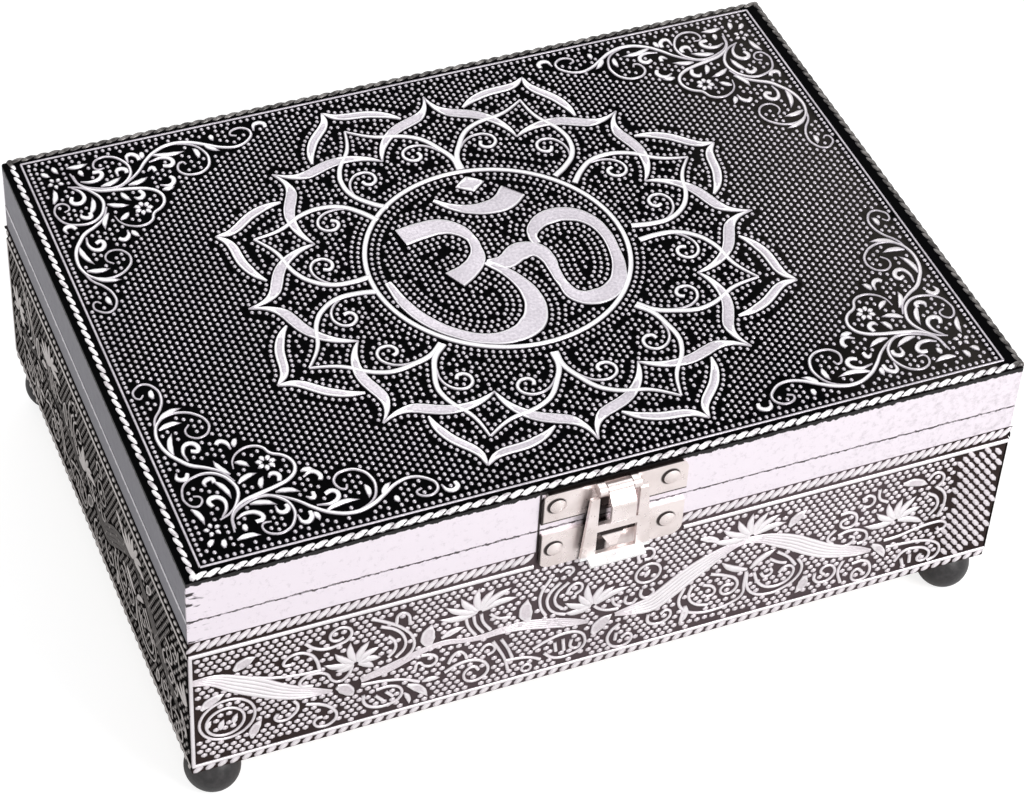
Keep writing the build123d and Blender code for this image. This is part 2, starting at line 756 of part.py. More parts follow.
def main():
    build_carcass()
    build_feet()
    build_lining()
    build_body_sheets()
    build_lid_carcass()
    build_lid_bands()
    build_lid_sheet()
    build_hinges()
    build_latch_plates()
    build_hasp()
    os.makedirs("parts", exist_ok=True)
    for name, part in parts.items():
        pieces = part if isinstance(part, list) else [part]
        solids = [centring * solid for piece in pieces for solid in piece.solids()]
        export_step(solids[0] if len(solids) == 1 else Compound(solids), f"parts/{name}.step")
    shift = centring.position.Y
    print("hinge axis", round(hinge_axis_y + shift, 4), round(hinge_axis_z, 4))
    print("hasp axis", round(hasp_axis_y + shift, 4), round(hasp_axis_z, 4))


main()
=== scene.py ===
"""Card box clad in embossed white metal: ornament, finishes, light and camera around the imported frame.

The scene is in metres. Ornament is drawn in millimetres on its own face, with u to the right, v up and
h out of the face, and is then carried to its place on the box.
"""

import json
import math
import random

import bmesh
import bpy
from mathutils import Matrix, Vector
from mathutils.geometry import interpolate_bezier
from mathutils.kdtree import KDTree


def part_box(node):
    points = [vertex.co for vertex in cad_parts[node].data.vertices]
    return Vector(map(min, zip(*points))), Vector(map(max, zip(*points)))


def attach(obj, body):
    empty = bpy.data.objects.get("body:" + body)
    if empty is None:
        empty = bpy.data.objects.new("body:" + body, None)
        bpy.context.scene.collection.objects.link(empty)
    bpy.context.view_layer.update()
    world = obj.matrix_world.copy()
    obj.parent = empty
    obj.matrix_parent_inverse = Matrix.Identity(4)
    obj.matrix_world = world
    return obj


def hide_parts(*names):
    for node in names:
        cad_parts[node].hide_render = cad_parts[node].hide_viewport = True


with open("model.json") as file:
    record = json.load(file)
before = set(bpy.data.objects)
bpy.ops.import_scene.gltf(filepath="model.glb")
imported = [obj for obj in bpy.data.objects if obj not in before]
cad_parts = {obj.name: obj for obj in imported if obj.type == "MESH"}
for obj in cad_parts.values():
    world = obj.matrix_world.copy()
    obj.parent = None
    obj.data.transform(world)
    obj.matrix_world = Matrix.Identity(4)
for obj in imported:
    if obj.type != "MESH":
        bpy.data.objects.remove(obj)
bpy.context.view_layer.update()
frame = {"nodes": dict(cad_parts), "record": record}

MM = 0.001
hand = random.Random(7)

# Sizes of the embossed sheet, in millimetres: how high figures and dots rise, and how deep they start
relief = 0.4
dot_rise = 0.36
burial = 0.12
sheet_thickness = 0.6

# Border of the lid, and the rows of dots that follow a figure
border_inset = (3.7, 2.4)
border_margin = 0.75
line_width = 0.6
row_offset = 0.8
row_pitch = 1.36

# Rope round the lid's edge, set farther in on the left, and white only from its crown level up
edge_rope_radius = 0.88
edge_rope_inset = 1.0
left_rope_inset = 2.1
edge_rope_pitch = 5.3
rope_crown = 0.72

# Sides of the body, from the rim down: plain band, rope, line, vine panel, line, rope
plain_band_height = 5.8
upper_rope_height = 2.8
upper_rope_pitch = 2.0
upper_rope_bead = (0.76, 2.05)
upper_rope_turn = -50
upper_line_drop = 1.2
upper_line_width = 1.3
lower_line = 1.7
lower_line_width = 1.0
lower_rope_level = 0.5
lower_rope_pitch = 2.5
lower_rope_bead = (0.8, 1.4)
lower_rope_turn = -52
end_panel_shift = -2.0
end_vine_height = 0.62 * relief

# Punched dots: half sizes, column and row pitch, alternate columns staggered by half a row, and the
# least distances to the next dot and to a figure
lid_dot = (0.5, 0.58)
lid_dot_pitch = (1.33, 1.62)
lid_dot_gap = 1.22
lid_dot_clearance = 0.66
side_dot = (0.83, 0.69)
side_dot_pitch = (0.875, 2.7)
side_dot_gap = 1.2
side_dot_clearance = 0.42

# Slanting ridges that take the place of the dots at each side's right end
ridge_dot = (0.68, 1.8)
ridge_pitch = (1.9, 2.2)
ridge_gap = 1.25
ridge_turn = 36
ridge_lean = -0.73
ridged_end = 12.0

# Places of painted shade and of a painted highlight on the latch, in the box's own millimetres
front_depths = (-63.9, -60.0)
nail_offset = 12.1
lower_nail_depth = 4.7
upper_nail_depth = 4.1
nail_shade_shift = 0.4
nail_shade_reach = (1.9, 2.2)
plate_shade_levels = ((57.3, 57.75), (65.05, 65.7))
flap_lean = -0.082
flap_left = (-12.7, -12.0)
flap_right = (-2.9, -2.3)
flap_top = (60.6, 61.2)
crease_level = (49.9, 51.2)
crease_reach = (-4.6, 3.6)
# Below this level the hasp's lip is painted white: a painted highlight
hasp_highlight_below = 46.9

# Medallion and lotus on the lid
medallion_radius = 28.2
medallion_centre = (-0.1, 1.5)
medallion_line_width = 1.2
lotus_centre = (1.2, 0.2)
lotus_turn = -2.8
lotus_petals = 8
front_petal_tip = 55.2
back_petal_tip = 60.4
inner_petal_tip = 52.4
joined_roots = ((0.523, 0.210), (0.592, 0.236))
parted_roots = ((0.523, 0.168), (0.592, 0.208))
petal_roots = (parted_roots, parted_roots, joined_roots, parted_roots,
               parted_roots, joined_roots, joined_roots, joined_roots)

# Places read from the frame, in millimetres
lid_low, lid_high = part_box("lid_sheet")
base_low, base_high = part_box("base_board")
wall_low, wall_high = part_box("front_wall")
plate_low, plate_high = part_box("latch_lower_plate")
upper_plate_low, upper_plate_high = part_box("latch_upper_plate")
band_low, band_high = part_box("lid_front_band")
middle_y = (lid_low.y + lid_high.y) / 2 / MM
half_width = (lid_high.x - lid_low.x) / 2 / MM
half_depth = (lid_high.y - lid_low.y) / 2 / MM
top_z = lid_high.z / MM
rim_z = wall_high.z / MM
body_z = base_low.z / MM
ground_half_width = half_width - relief
ground_half_depth = half_depth - relief
ground_top = top_z - relief


# Camera at the photograph's angle

camera_place = Vector((-0.19641, -0.43584, 0.49265))
camera_right = Vector((0.92582, -0.37495, 0.04783))
camera_up = Vector((0.23001, 0.65926, 0.71587))
camera_lens = 108.75


def set_camera():
    """A long lens above the box's front left corner, as in the photograph."""
    data = bpy.data.cameras.new("camera")
    data.lens = camera_lens
    data.sensor_width = 36.0
    data.clip_start = 0.01
    camera = bpy.data.objects.new("camera", data)
    bpy.context.scene.collection.objects.link(camera)
    back = camera_right.cross(camera_up)
    turn = Matrix((camera_right, camera_up, back)).transposed().to_4x4()
    camera.matrix_world = Matrix.Translation(camera_place) @ turn
    bpy.context.scene.camera = camera


# Materials


def linear(colour):
    """An sRGB hex colour as linear RGBA."""
    shares = [int(colour[k:k + 2], 16) / 255 for k in (1, 3, 5)]
    return [s / 12.92 if s <= 0.04045 else ((s + 0.055) / 1.055) ** 2.4 for s in shares] + [1.0]


def add(tree, kind, inputs=None, **settings):
    """Adds one node: settings are its properties, inputs are values or sockets to link."""
    made = tree.nodes.new("ShaderNode" + kind)
    for name, value in settings.items():
        setattr(made, name, value)
    for name, value in (inputs or {}).items():
        if isinstance(value, bpy.types.NodeSocket):
            tree.links.new(value, made.inputs[name])
        else:
            made.inputs[name].default_value = value
    return made


def new_material(name):
    """An empty material with its shader and its Object coordinates."""
    material = bpy.data.materials.new(name)
    material.use_nodes = True
    tree = material.node_tree
    tree.nodes.clear()
    shader = add(tree, "BsdfPrincipled")
    output = add(tree, "OutputMaterial", {"Surface": shader.outputs["BSDF"]})
    output.location = (300, 0)
    place = add(tree, "TexCoord").outputs["Object"]
    return material, tree, shader, place


def noise(tree, place, size_mm, detail=3.0, roughness=0.55):
    """Noise whose blotches are about size_mm across."""
    inputs = {"Vector": place, "Scale": 1 / (size_mm * MM), "Detail": detail, "Roughness": roughness}
    return add(tree, "TexNoise", inputs).outputs["Fac"]


def span(tree, value, low, high, to_low=0.0, to_high=1.0):
    """Maps a value from one range to another, clamped."""
    inputs = {"Value": value, "From Min": low, "From Max": high, "To Min": to_low, "To Max": to_high}
    return add(tree, "MapRange", inputs).outputs["Result"]


def mix_colour(tree, share, first, second):
    """Mixes two colours, each a hex value or a socket."""
    made = add(tree, "Mix", data_type="RGBA")
    for socket, value in ((0, share), (6, first), (7, second)):
        if isinstance(value, str):
            value = linear(value)
        if isinstance(value, bpy.types.NodeSocket):
            tree.links.new(value, made.inputs[socket])
        else:
            made.inputs[socket].default_value = value
    return made.outputs[2]


def bump(tree, shader, height, depth_mm):
    """Fine relief from a height between 0 and 1."""
    made = add(tree, "Bump", {"Height": height, "Distance": depth_mm * MM, "Strength": 1.0})
    tree.links.new(made.outputs["Normal"], shader.inputs["Normal"])


def embossed_metal(name, axis, level, recess, tone, polish, wear_and_glare_span=(-70, -30, 60, 75), rise=(0.1, 0.5)):
    """White metal sheet, embossed by hand, blackened and rubbed back.

    The patina stays in the recesses, sunk middles of broad figures are greyish and their edges bright,
    so the colour follows the height above the sheet: axis is the face's coordinate and level the
    plain sheet's place on it, and a figure's flank clears between the two shares of the relief in rise.
    Each pair of colours is for the darker sheet and for the sheet within a span across the box: on the
    body that is worn, thinner patina, and on the lid a painted glare of lighter recesses and greyer
    highlights. The span comes in between its first two places, in millimetres, and ends between the
    last two.
    """
    material, tree, shader, place = new_material(name)
    parts = add(tree, "SeparateXYZ", {"Vector": place})
    height = add(tree, "Math", {0: parts.outputs[axis]}, operation="ABSOLUTE").outputs[0]
    blotch = noise(tree, place, 12.0)
    grain = noise(tree, place, 0.6, 3.0)
    wear = span(tree, blotch, 0.35, 0.65, 0.86, 1.0)
    risen = span(tree, height, (level + relief * rise[0]) * MM, (level + relief * rise[1]) * MM)
    bright = product(tree, risen, wear)
    rubbed = span(tree, height, (level + relief * 0.74) * MM, (level + relief * 0.9) * MM)
    mottled = mix_colour(tree, span(tree, grain, 0.35, 0.65), tone[0], tone[1])
    from_left = span(tree, parts.outputs["X"], wear_and_glare_span[0] * MM, wear_and_glare_span[1] * MM)
    to_right = span(tree, parts.outputs["X"], wear_and_glare_span[2] * MM, wear_and_glare_span[3] * MM, 1.0, 0.0)
    wear_and_glare = product(tree, from_left, to_right)
    thin = mix_colour(tree, wear_and_glare, recess[0], recess[1])
    shine = mix_colour(tree, wear_and_glare, polish[0], polish[1])
    colour = mix_colour(tree, bright, thin, mix_colour(tree, rubbed, mottled, shine))
    tree.links.new(colour, shader.inputs["Base Color"])
    tree.links.new(span(tree, bright, 0.2, 0.9, 0.0, 0.6), shader.inputs["Metallic"])
    tree.links.new(span(tree, bright, 0.1, 0.6, 0.015, 0.5), shader.inputs["Specular IOR Level"])
    rough = span(tree, bright, 0.0, 1.0, 0.7, 0.36)
    uneven = add(tree, "Math", {0: rough, 1: span(tree, grain, 0.3, 0.7, -0.04, 0.06)}, operation="ADD")
    tree.links.new(uneven.outputs[0], shader.inputs["Roughness"])
    bump(tree, shader, grain, 0.03)
    return material


def groove_patina():
    """Black sulphide patina left deep in the grooves of the rope edge: dull, with a trace of grey."""
    material, tree, shader, place = new_material("groove_patina")
    dust = noise(tree, place, 0.7)
    tree.links.new(mix_colour(tree, dust, "#050506", "#1c1b1d"), shader.inputs["Base Color"])
    shader.inputs["Roughness"].default_value = 0.75
    shader.inputs["Specular IOR Level"].default_value = 0.1
    return material


def rope_metal():
    """The sheet where it is rolled into a rope: rubbed bright on the crown; below the crown's level it is
    black, patina and painted shade together.

    At the back and on the right the crown is grey.
    """
    material, tree, shader, place = new_material("rubbed_rope_edge")
    stains = noise(tree, place, 1.8, 3.0)
    rubbed = mix_colour(tree, span(tree, stains, 0.45, 0.7), "#fbf8fa", "#b9b2b7")
    parts = add(tree, "SeparateXYZ", {"Vector": place}).outputs
    right_rope = span(tree, parts["X"], (half_width - 3.0) * MM, (half_width - 2.5) * MM)
    back_edge = middle_y + half_depth
    back_rope = span(tree, parts["Y"], (back_edge - 3.0) * MM, (back_edge - 2.5) * MM)
    dull_rope = add(tree, "Math", {0: right_rope, 1: back_rope}, operation="MAXIMUM").outputs[0]
    grey = mix_colour(tree, span(tree, stains, 0.4, 0.6), "#7d7977", "#3b3837")
    rubbed = mix_colour(tree, dull_rope, rubbed, grey)
    ragged = span(tree, noise(tree, place, 1.1, 2.0), 0.3, 0.7, -0.22 * MM, 0.22 * MM)
    level = add(tree, "Math", {0: parts["Z"], 1: ragged}, operation="ADD").outputs[0]
    # Below the crown's level the rope is black: patina and painted shade together
    crown = top_z - rope_crown * edge_rope_radius
    above_crown = span(tree, level, (crown - 0.12) * MM, (crown + 0.12) * MM)
    tree.links.new(mix_colour(tree, above_crown, "#0d0b0c", rubbed), shader.inputs["Base Color"])
    tree.links.new(span(tree, above_crown, 0.0, 1.0, 0.0, 0.5), shader.inputs["Metallic"])
    tree.links.new(span(tree, above_crown, 0.0, 1.0, 0.01, 0.5), shader.inputs["Specular IOR Level"])
    tree.links.new(span(tree, stains, 0.3, 0.75, 0.34, 0.5), shader.inputs["Roughness"])
    return material


def between(tree, value, low, high, edge=0.15 * MM):
    """1 where a value lies between two levels in metres, 0 elsewhere."""
    above = span(tree, value, low, low + edge)
    below = span(tree, value, high - edge, high, 1.0, 0.0)
    return add(tree, "Math", {0: above, 1: below}, operation="MULTIPLY").outputs[0]


def plain_metal(name, tone, shade, lines, flecks=0.0, shadow=None):
    """Plain sheet between the ropes and the rim: soft sheen, faint waves and a few stains.

    Ragged lines lie along the edges, each (low, high, colour): dark seams, painted shade in the crease
    under the rope and a painted highlight along the end bands' rim. Tarnish lies in flecks within so many
    millimetres of the left corner. Painted shade lies beside the latch plates, between two places across,
    and behind the hasp's flap.
    """
    material, tree, shader, place = new_material(name)
    parts = add(tree, "SeparateXYZ", {"Vector": place}).outputs
    waves = noise(tree, place, 9.0, 2.0)
    stains = noise(tree, place, 1.5, 5.0, 0.75)
    grain = noise(tree, place, 0.35, 2.0)
    duller_right = span(tree, parts["X"], 0.15 * half_width * MM, half_width * MM, 0.0, 0.1)
    spots = add(tree, "Math", {0: stains, 1: duller_right}, operation="ADD").outputs[0]
    colour = mix_colour(tree, span(tree, spots, 0.56, 0.8, 0.0, 0.65), tone, shade)
    ragged = span(tree, noise(tree, place, 1.3, 2.0), 0.3, 0.7, -0.3 * MM, 0.3 * MM)
    level = add(tree, "Math", {0: parts["Z"], 1: ragged}, operation="ADD").outputs[0]
    # Dark seams, painted shade under the rope and a painted highlight on the end bands' rim
    for low, high, dirt_and_painted_light in lines:
        colour = mix_colour(tree, between(tree, level, low * MM, high * MM), colour, dirt_and_painted_light)
    if flecks:
        dashes = add(tree, "Mapping", {"Vector": place, "Scale": (0.45, 1.0, 1.5)}).outputs[0]
        ink = span(tree, noise(tree, dashes, 1.5, 2.0), 0.58, 0.66)
        corner = span(tree, parts["X"], (flecks - half_width) * MM, (0.4 * flecks - half_width) * MM)
        colour = mix_colour(tree, product(tree, ink, corner), colour, "#3a3336")
    if shadow:
        beside = between(tree, parts["X"], shadow[0] * MM, shadow[1] * MM)
        beside = product(tree, beside, on_front(tree, parts["Y"]))
        dirt_and_painted_light = add(tree, "Math", {0: beside, 1: flap_painted_shade(tree, place)}, operation="MAXIMUM").outputs[0]
        # Painted shade beside the latch plates and behind the hasp's flap
        colour = mix_colour(tree, dirt_and_painted_light, colour, "#332b2b")
    tree.links.new(colour, shader.inputs["Base Color"])
    shader.inputs["Metallic"].default_value = 0.35
    tree.links.new(span(tree, stains, 0.3, 0.75, 0.4, 0.5), shader.inputs["Roughness"])
    uneven = add(tree, "Math", {0: waves, 1: span(tree, grain, 0.0, 1.0, 0.0, 0.06)}, operation="ADD")
    bump(tree, shader, uneven.outputs[0], 0.3)
    return material


def nickel_plate(name, painted_shade_mask=None, bright_below=None):
    """Stamped steel with nickel plating: bright, slightly warm, with fine rolling marks.

    The mask function, if given, says where shade is painted dark on it. Below the level bright_below in
    millimetres it is painted white: a painted highlight.
    """
    material, tree, shader, place = new_material(name)
    marks = noise(tree, place, 1.6, 3.0)
    haze = noise(tree, place, 6.0, 2.0)
    colour = mix_colour(tree, span(tree, haze, 0.35, 0.65), "#f6ebe9", "#e3d7d4")
    if painted_shade_mask:
        # Painted shade where the mask says
        colour = mix_colour(tree, painted_shade_mask(tree, place), colour, "#2e2523")
    if bright_below:
        height = add(tree, "SeparateXYZ", {"Vector": place}).outputs["Z"]
        painted_highlight = span(tree, height, bright_below * MM, (bright_below + 0.4) * MM, 1.0, 0.0)
        # Painted highlight on the hasp's lip
        colour = mix_colour(tree, painted_highlight, colour, "#ffffff")
    tree.links.new(colour, shader.inputs["Base Color"])
    shader.inputs["Metallic"].default_value = 0.7
    tree.links.new(span(tree, marks, 0.3, 0.7, 0.24, 0.4), shader.inputs["Roughness"])
    bump(tree, shader, marks, 0.04)
    return material


def product(tree, *shares):
    """The product of several shares between 0 and 1."""
    whole = shares[0]
    for share in shares[1:]:
        whole = add(tree, "Math", {0: whole, 1: share}, operation="MULTIPLY").outputs[0]
    return whole


def on_front(tree, depth):
    """1 on the front's bands and plates, 0 on the flap before them and on all that lies farther back."""
    return between(tree, depth, front_depths[0] * MM, front_depths[1] * MM, 0.2 * MM)


def flap_painted_shade(tree, place):
    """1 on the plates and bands that lie behind the hasp's left wing and under its cross bar: painted shade.
    """
    parts = add(tree, "SeparateXYZ", {"Vector": place}).outputs
    slant = add(tree, "Math", {0: parts["Z"], 1: flap_lean}, operation="MULTIPLY").outputs[0]
    leaning = add(tree, "Math", {0: parts["X"], 1: slant}, operation="ADD").outputs[0]
    left = span(tree, leaning, flap_left[0] * MM, flap_left[1] * MM)
    right = span(tree, parts["X"], flap_right[0] * MM, flap_right[1] * MM, 1.0, 0.0)
    upper = span(tree, parts["Z"], flap_top[0] * MM, flap_top[1] * MM, 1.0, 0.0)
    wing = product(tree, left, right, upper)
    level = between(tree, parts["Z"], crease_level[0] * MM, crease_level[1] * MM)
    reach = between(tree, parts["X"], crease_reach[0] * MM, crease_reach[1] * MM)
    hidden = add(tree, "Math", {0: wing, 1: product(tree, level, reach)}, operation="MAXIMUM").outputs[0]
    return product(tree, hidden, on_front(tree, parts["Y"]))


def plate_painted_shade(tree, place):
    """Painted shade behind the flap, beside the nail heads and along the plates' left, upper and lower edges.
    """
    parts = add(tree, "SeparateXYZ", {"Vector": place}).outputs
    flat = add(tree, "VectorMath", {0: place, 1: (1.0, 0.0, 1.0)}, operation="MULTIPLY").outputs["Vector"]
    spots = []
    for low, high, depth in ((plate_low, plate_high, lower_nail_depth),
                             (upper_plate_low, upper_plate_high, upper_nail_depth)):
        for side in (-1, 1):
            x = (low.x + high.x) / 2 + (side * nail_offset - nail_shade_shift) * MM
            z = high.z - (depth - nail_shade_shift) * MM
            away = add(tree, "VectorMath", {0: flat, 1: (x, 0.0, z)}, operation="DISTANCE").outputs["Value"]
            spots.append(span(tree, away, nail_shade_reach[0] * MM, nail_shade_reach[1] * MM, 1.0, 0.0))
    spots.append(span(tree, parts["X"], plate_low.x + 0.3 * MM, plate_low.x + 0.6 * MM, 1.0, 0.0))
    for low, high in plate_shade_levels:
        spots.append(between(tree, parts["Z"], low * MM, high * MM))
    dirt_and_painted_light = flap_painted_shade(tree, place)
    for spot in spots:
        dirt_and_painted_light = add(tree, "Math", {0: dirt_and_painted_light, 1: spot}, operation="MAXIMUM").outputs[0]
    return product(tree, dirt_and_painted_light, on_front(tree, parts["Y"]))


def bright_steel():
    """Drawn steel wire and screws: plain grey metal with a dull shine."""
    material, tree, shader, place = new_material("bright_steel")
    marks = noise(tree, place, 0.8, 3.0)
    tree.links.new(mix_colour(tree, marks, "#a7a7a9", "#8d8d90"), shader.inputs["Base Color"])
    shader.inputs["Metallic"].default_value = 0.9
    tree.links.new(span(tree, marks, 0.3, 0.7, 0.35, 0.5), shader.inputs["Roughness"])
    return material


def black_paint():
    """Turned wood under black satin paint: soft highlight, faint rings and dust in the grain."""
    material, tree, shader, place = new_material("black_satin_paint")
    dust = noise(tree, place, 1.5, 4.0)
    colour = mix_colour(tree, span(tree, dust, 0.4, 0.75), "#232122", "#3d3a3b")
    tree.links.new(colour, shader.inputs["Base Color"])
    tree.links.new(span(tree, dust, 0.3, 0.7, 0.32, 0.5), shader.inputs["Roughness"])
    bump(tree, shader, noise(tree, place, 0.6, 2.0), 0.05)
    return material


def sawn_wood(name, grain_turn):
    """Plain sawn softwood: pale rings along the board, darker late wood and a dry rough face.

    The grain runs along the box, or along its depth with a quarter turn.
    """
    material, tree, shader, place = new_material(name)
    turned = add(tree, "Mapping", {"Vector": place, "Rotation": (0.0, 0.0, grain_turn)}).outputs[0]
    stretched = add(tree, "Mapping", {"Vector": turned, "Scale": (0.12, 1.0, 1.0)}).outputs[0]
    rings = add(tree, "TexWave", {"Vector": stretched, "Scale": 160.0, "Distortion": 7.0, "Detail": 3.0,
                                  "Detail Scale": 1.6}, bands_direction="Y").outputs["Fac"]
    fibre = noise(tree, stretched, 0.5, 3.0)
    grain = mix_colour(tree, rings, "#c09763", "#9c6f41")
    colour = mix_colour(tree, span(tree, fibre, 0.35, 0.75, 0.0, 0.5), grain, "#7d5531")
    tree.links.new(colour, shader.inputs["Base Color"])
    shader.inputs["Roughness"].default_value = 0.72
    bump(tree, shader, fibre, 0.12)
    return material


def red_velvet():
    """Cut-pile velvet: a deep red whose pile catches the light at the edges, brushed in patches."""
    material, tree, shader, place = new_material("red_velvet")
    brushed = noise(tree, place, 22.0, 3.0)
    pile = noise(tree, place, 0.35, 2.0)
    colour = mix_colour(tree, span(tree, brushed, 0.35, 0.65), "#540812", "#6a0e1a")
    colour = mix_colour(tree, span(tree, pile, 0.35, 0.7, 0.0, 0.6), colour, "#2a0409")
    tree.links.new(colour, shader.inputs["Base Color"])
    shader.inputs["Roughness"].default_value = 0.9
    shader.inputs["Sheen Weight"].default_value = 0.6
    shader.inputs["Sheen Roughness"].default_value = 0.35
    shader.inputs["Sheen Tint"].default_value = linear("#c25562")
    bump(tree, shader, pile, 0.25)
    return material


# Drawing tools for the relief


def bars(strokes, rounds=2, steps=5, closed=False):
    """One mesh of round bars in millimetres: each stroke is (points, widths)."""
    drawing = bpy.data.curves.new("strokes", "CURVE")
    drawing.dimensions = "3D"
    drawing.twist_mode = "Z_UP"
    drawing.bevel_depth = 1.0
    drawing.bevel_resolution = rounds
    drawing.use_fill_caps = True
    drawing.resolution_u = steps
    for points, widths in strokes:
        line = drawing.splines.new("BEZIER")
        line.bezier_points.add(len(points) - 1)
        line.use_cyclic_u = closed
        for k, point in enumerate(points):
            place = k / (len(points) - 1) * (len(widths) - 1)
            step = min(int(place), len(widths) - 2)
            width = widths[step] + (widths[step + 1] - widths[step]) * (place - step)
            knot = line.bezier_points[k]
            knot.co = (*point, 0.0)[:3]
            knot.radius = max(width, 0.08) / 2
            knot.handle_left_type = "AUTO"
            knot.handle_right_type = "AUTO"
    holder = bpy.data.objects.new("strokes", drawing)
    bpy.context.scene.collection.objects.link(holder)
    bpy.context.view_layer.update()
    mesh = bpy.data.meshes.new_from_object(holder.evaluated_get(bpy.context.evaluated_depsgraph_get()))
    bpy.data.objects.remove(holder)
    return mesh


def emboss(shape, strokes, height=relief, rounds=2, steps=5, closed=False, dip=0.0):
    """Adds strokes to a bmesh as raised figures with flat tops; broad ones keep a rim and sink by dip."""
    for stroke in strokes:
        mesh = bars([stroke], rounds, steps, closed)
        figure = bmesh.new()
        figure.from_mesh(mesh)
        figure.normal_update()
        top = height - hand.uniform(0.0, 0.02)
        for vertex in figure.verts:
            sunk = vertex.normal.z > 0.6 and vertex.co.z > 2 * height
            vertex.co.z = max(min(vertex.co.z, top), -burial)
            if sunk:
                vertex.co.z -= dip
        figure.to_mesh(mesh)
        figure.free()
        shape.from_mesh(mesh)
        bpy.data.meshes.remove(mesh)


def stamp_template(width, length, height, turn=0.0, segments=8, rings=4):
    """A low dome, the mark of one blow of a punch, cut off just under the sheet."""
    shape = bmesh.new()
    bmesh.ops.create_uvsphere(shape, u_segments=segments, v_segments=rings, radius=1.0)
    geometry = shape.verts[:] + shape.edges[:] + shape.faces[:]
    bmesh.ops.bisect_plane(shape, geom=geometry, plane_co=(0, 0, -0.05), plane_no=(0, 0, 1), clear_inner=True)
    size = Matrix.Diagonal((width, length, height, 1.0))
    bmesh.ops.transform(shape, matrix=Matrix.Rotation(math.radians(turn), 4, "Z") @ size, verts=shape.verts)
    mesh = bpy.data.meshes.new("stamp")
    shape.to_mesh(mesh)
    shape.free()
    return mesh


def stamp(shape, template, places):
    """Repeats one mark at each (u, v) place."""
    at = Vector((0.0, 0.0))
    for u, v in places:
        step = Vector((u, v)) - at
        template.transform(Matrix.Translation((step.x, step.y, 0.0)))
        shape.from_mesh(template)
        at = Vector((u, v))
    template.transform(Matrix.Translation((-at.x, -at.y, 0.0)))


def smooth(shape):
    """Shades every face of a bmesh smooth."""
    for face in shape.faces:
        face.smooth = True


def finish(shape, name, material, body, carry=None, materials=()):
    """Turns a bmesh into a piece that rides on a body and takes a material slot's finish."""
    if carry is not None:
        bmesh.ops.transform(shape, matrix=carry, verts=shape.verts)
    mesh = bpy.data.meshes.new(name)
    shape.to_mesh(mesh)
    shape.free()
    for coat in (material, *materials):
        mesh.materials.append(coat)
    piece = bpy.data.objects.new(name, mesh)
    bpy.context.scene.collection.objects.link(piece)
    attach(piece, body)
    return piece


def face_of_box(u, v, origin):
    """The carrying matrix of a face: its u and v directions and its origin in millimetres."""
    u, v = Vector(u), Vector(v)
    turn = Matrix((u, v, u.cross(v))).transposed().to_4x4()
    return Matrix.Scale(MM, 4) @ Matrix.Translation(Vector(origin)) @ turn


top_face = face_of_box((1, 0, 0), (0, 1, 0), (0, middle_y, ground_top))
front_face = face_of_box((1, 0, 0), (0, 0, 1), (0, middle_y - ground_half_depth, body_z))
back_face = face_of_box((-1, 0, 0), (0, 0, 1), (0, middle_y + ground_half_depth, body_z))
right_face = face_of_box((0, 1, 0), (0, 0, 1), (ground_half_width, middle_y, body_z))
left_face = face_of_box((0, -1, 0), (0, 0, 1), (-ground_half_width, middle_y, body_z))


def along(points, widths, step):
    """Centre, side direction and half width at even steps along a stroke."""
    knots = [Vector(point) for point in points]
    last = len(knots) - 1
    for k in range(last):
        before, after = knots[max(k - 1, 0)], knots[min(k + 2, last)]
        first = knots[k] + (knots[k + 1] - before) / 6
        second = knots[k + 1] - (after - knots[k]) / 6
        count = max(2, int((knots[k + 1] - knots[k]).length / step) + 1)
        places = interpolate_bezier(knots[k], first, second, knots[k + 1], count)
        for j in range(count - 1):
            share = (k + j / (count - 1)) / last * (len(widths) - 1)
            low = min(int(share), len(widths) - 2)
            width = widths[low] + (widths[low + 1] - widths[low]) * (share - low)
            across = (places[j + 1] - places[j]).orthogonal().normalized()
            yield places[j], across, width / 2


class Punching:
    """Where the dots go: rows that follow the figures first, then staggered columns in what is left."""

    def __init__(self, shape, inside, clearance):
        self.figures = KDTree(len(shape.verts))
        for k, vertex in enumerate(shape.verts):
            self.figures.insert((vertex.co.x, vertex.co.y, 0.0), k)
        self.figures.balance()
        self.inside = inside
        self.clearance = clearance
        self.places = []
        self.cells = {}

    def punch(self, u, v, gap):
        """Takes a place if it is clear of the figures and of the dots already punched."""
        (left, right), (bottom, top) = self.inside
        if not (left <= u <= right and bottom <= v <= top):
            return
        cell = (round(u / row_pitch), round(v / row_pitch))
        for i in (-1, 0, 1):
            for j in (-1, 0, 1):
                for other in self.cells.get((cell[0] + i, cell[1] + j), ()):
                    if math.hypot(other[0] - u, other[1] - v) < gap:
                        return
        if self.figures.find((u, v, 0.0))[2] < self.clearance:
            return
        self.cells.setdefault(cell, []).append((u, v))
        self.places.append((u, v))

    def follow(self, strokes, rows):
        """Rows of dots beside each stroke."""
        for row in range(rows):
            for points, widths in strokes:
                for side in (-1, 1):
                    for centre, across, half in along(points, widths, 0.2):
                        place = centre + across * side * (half + row_offset + row * row_pitch)
                        self.punch(place.x, place.y, row_pitch)

    def fill(self, pitch, gap, left=None, right=None, lean=0.0):
        """Columns of dots over the rest of the face, or over the part from left to right.

        A column leans by that much across for each millimetre up.
        """
        (low, high), (bottom, top) = self.inside
        left = low if left is None else left
        right = high if right is None else right
        spread = abs(lean) * (top - bottom)
        first = left + 0.05 - max(lean, 0.0) * (top - bottom)
        for column in range(int((right - left + spread) / pitch[0]) + 1):
            for row in range(int((top - bottom) / pitch[1]) + 1):
                v = bottom + (row + 0.5 * (column % 2)) * pitch[1] + hand.uniform(-0.07, 0.07)
                u = first + column * pitch[0] + lean * (v - bottom) + hand.uniform(-0.05, 0.05)
                if left <= u <= right:
                    self.punch(u, v, gap)


# Motifs


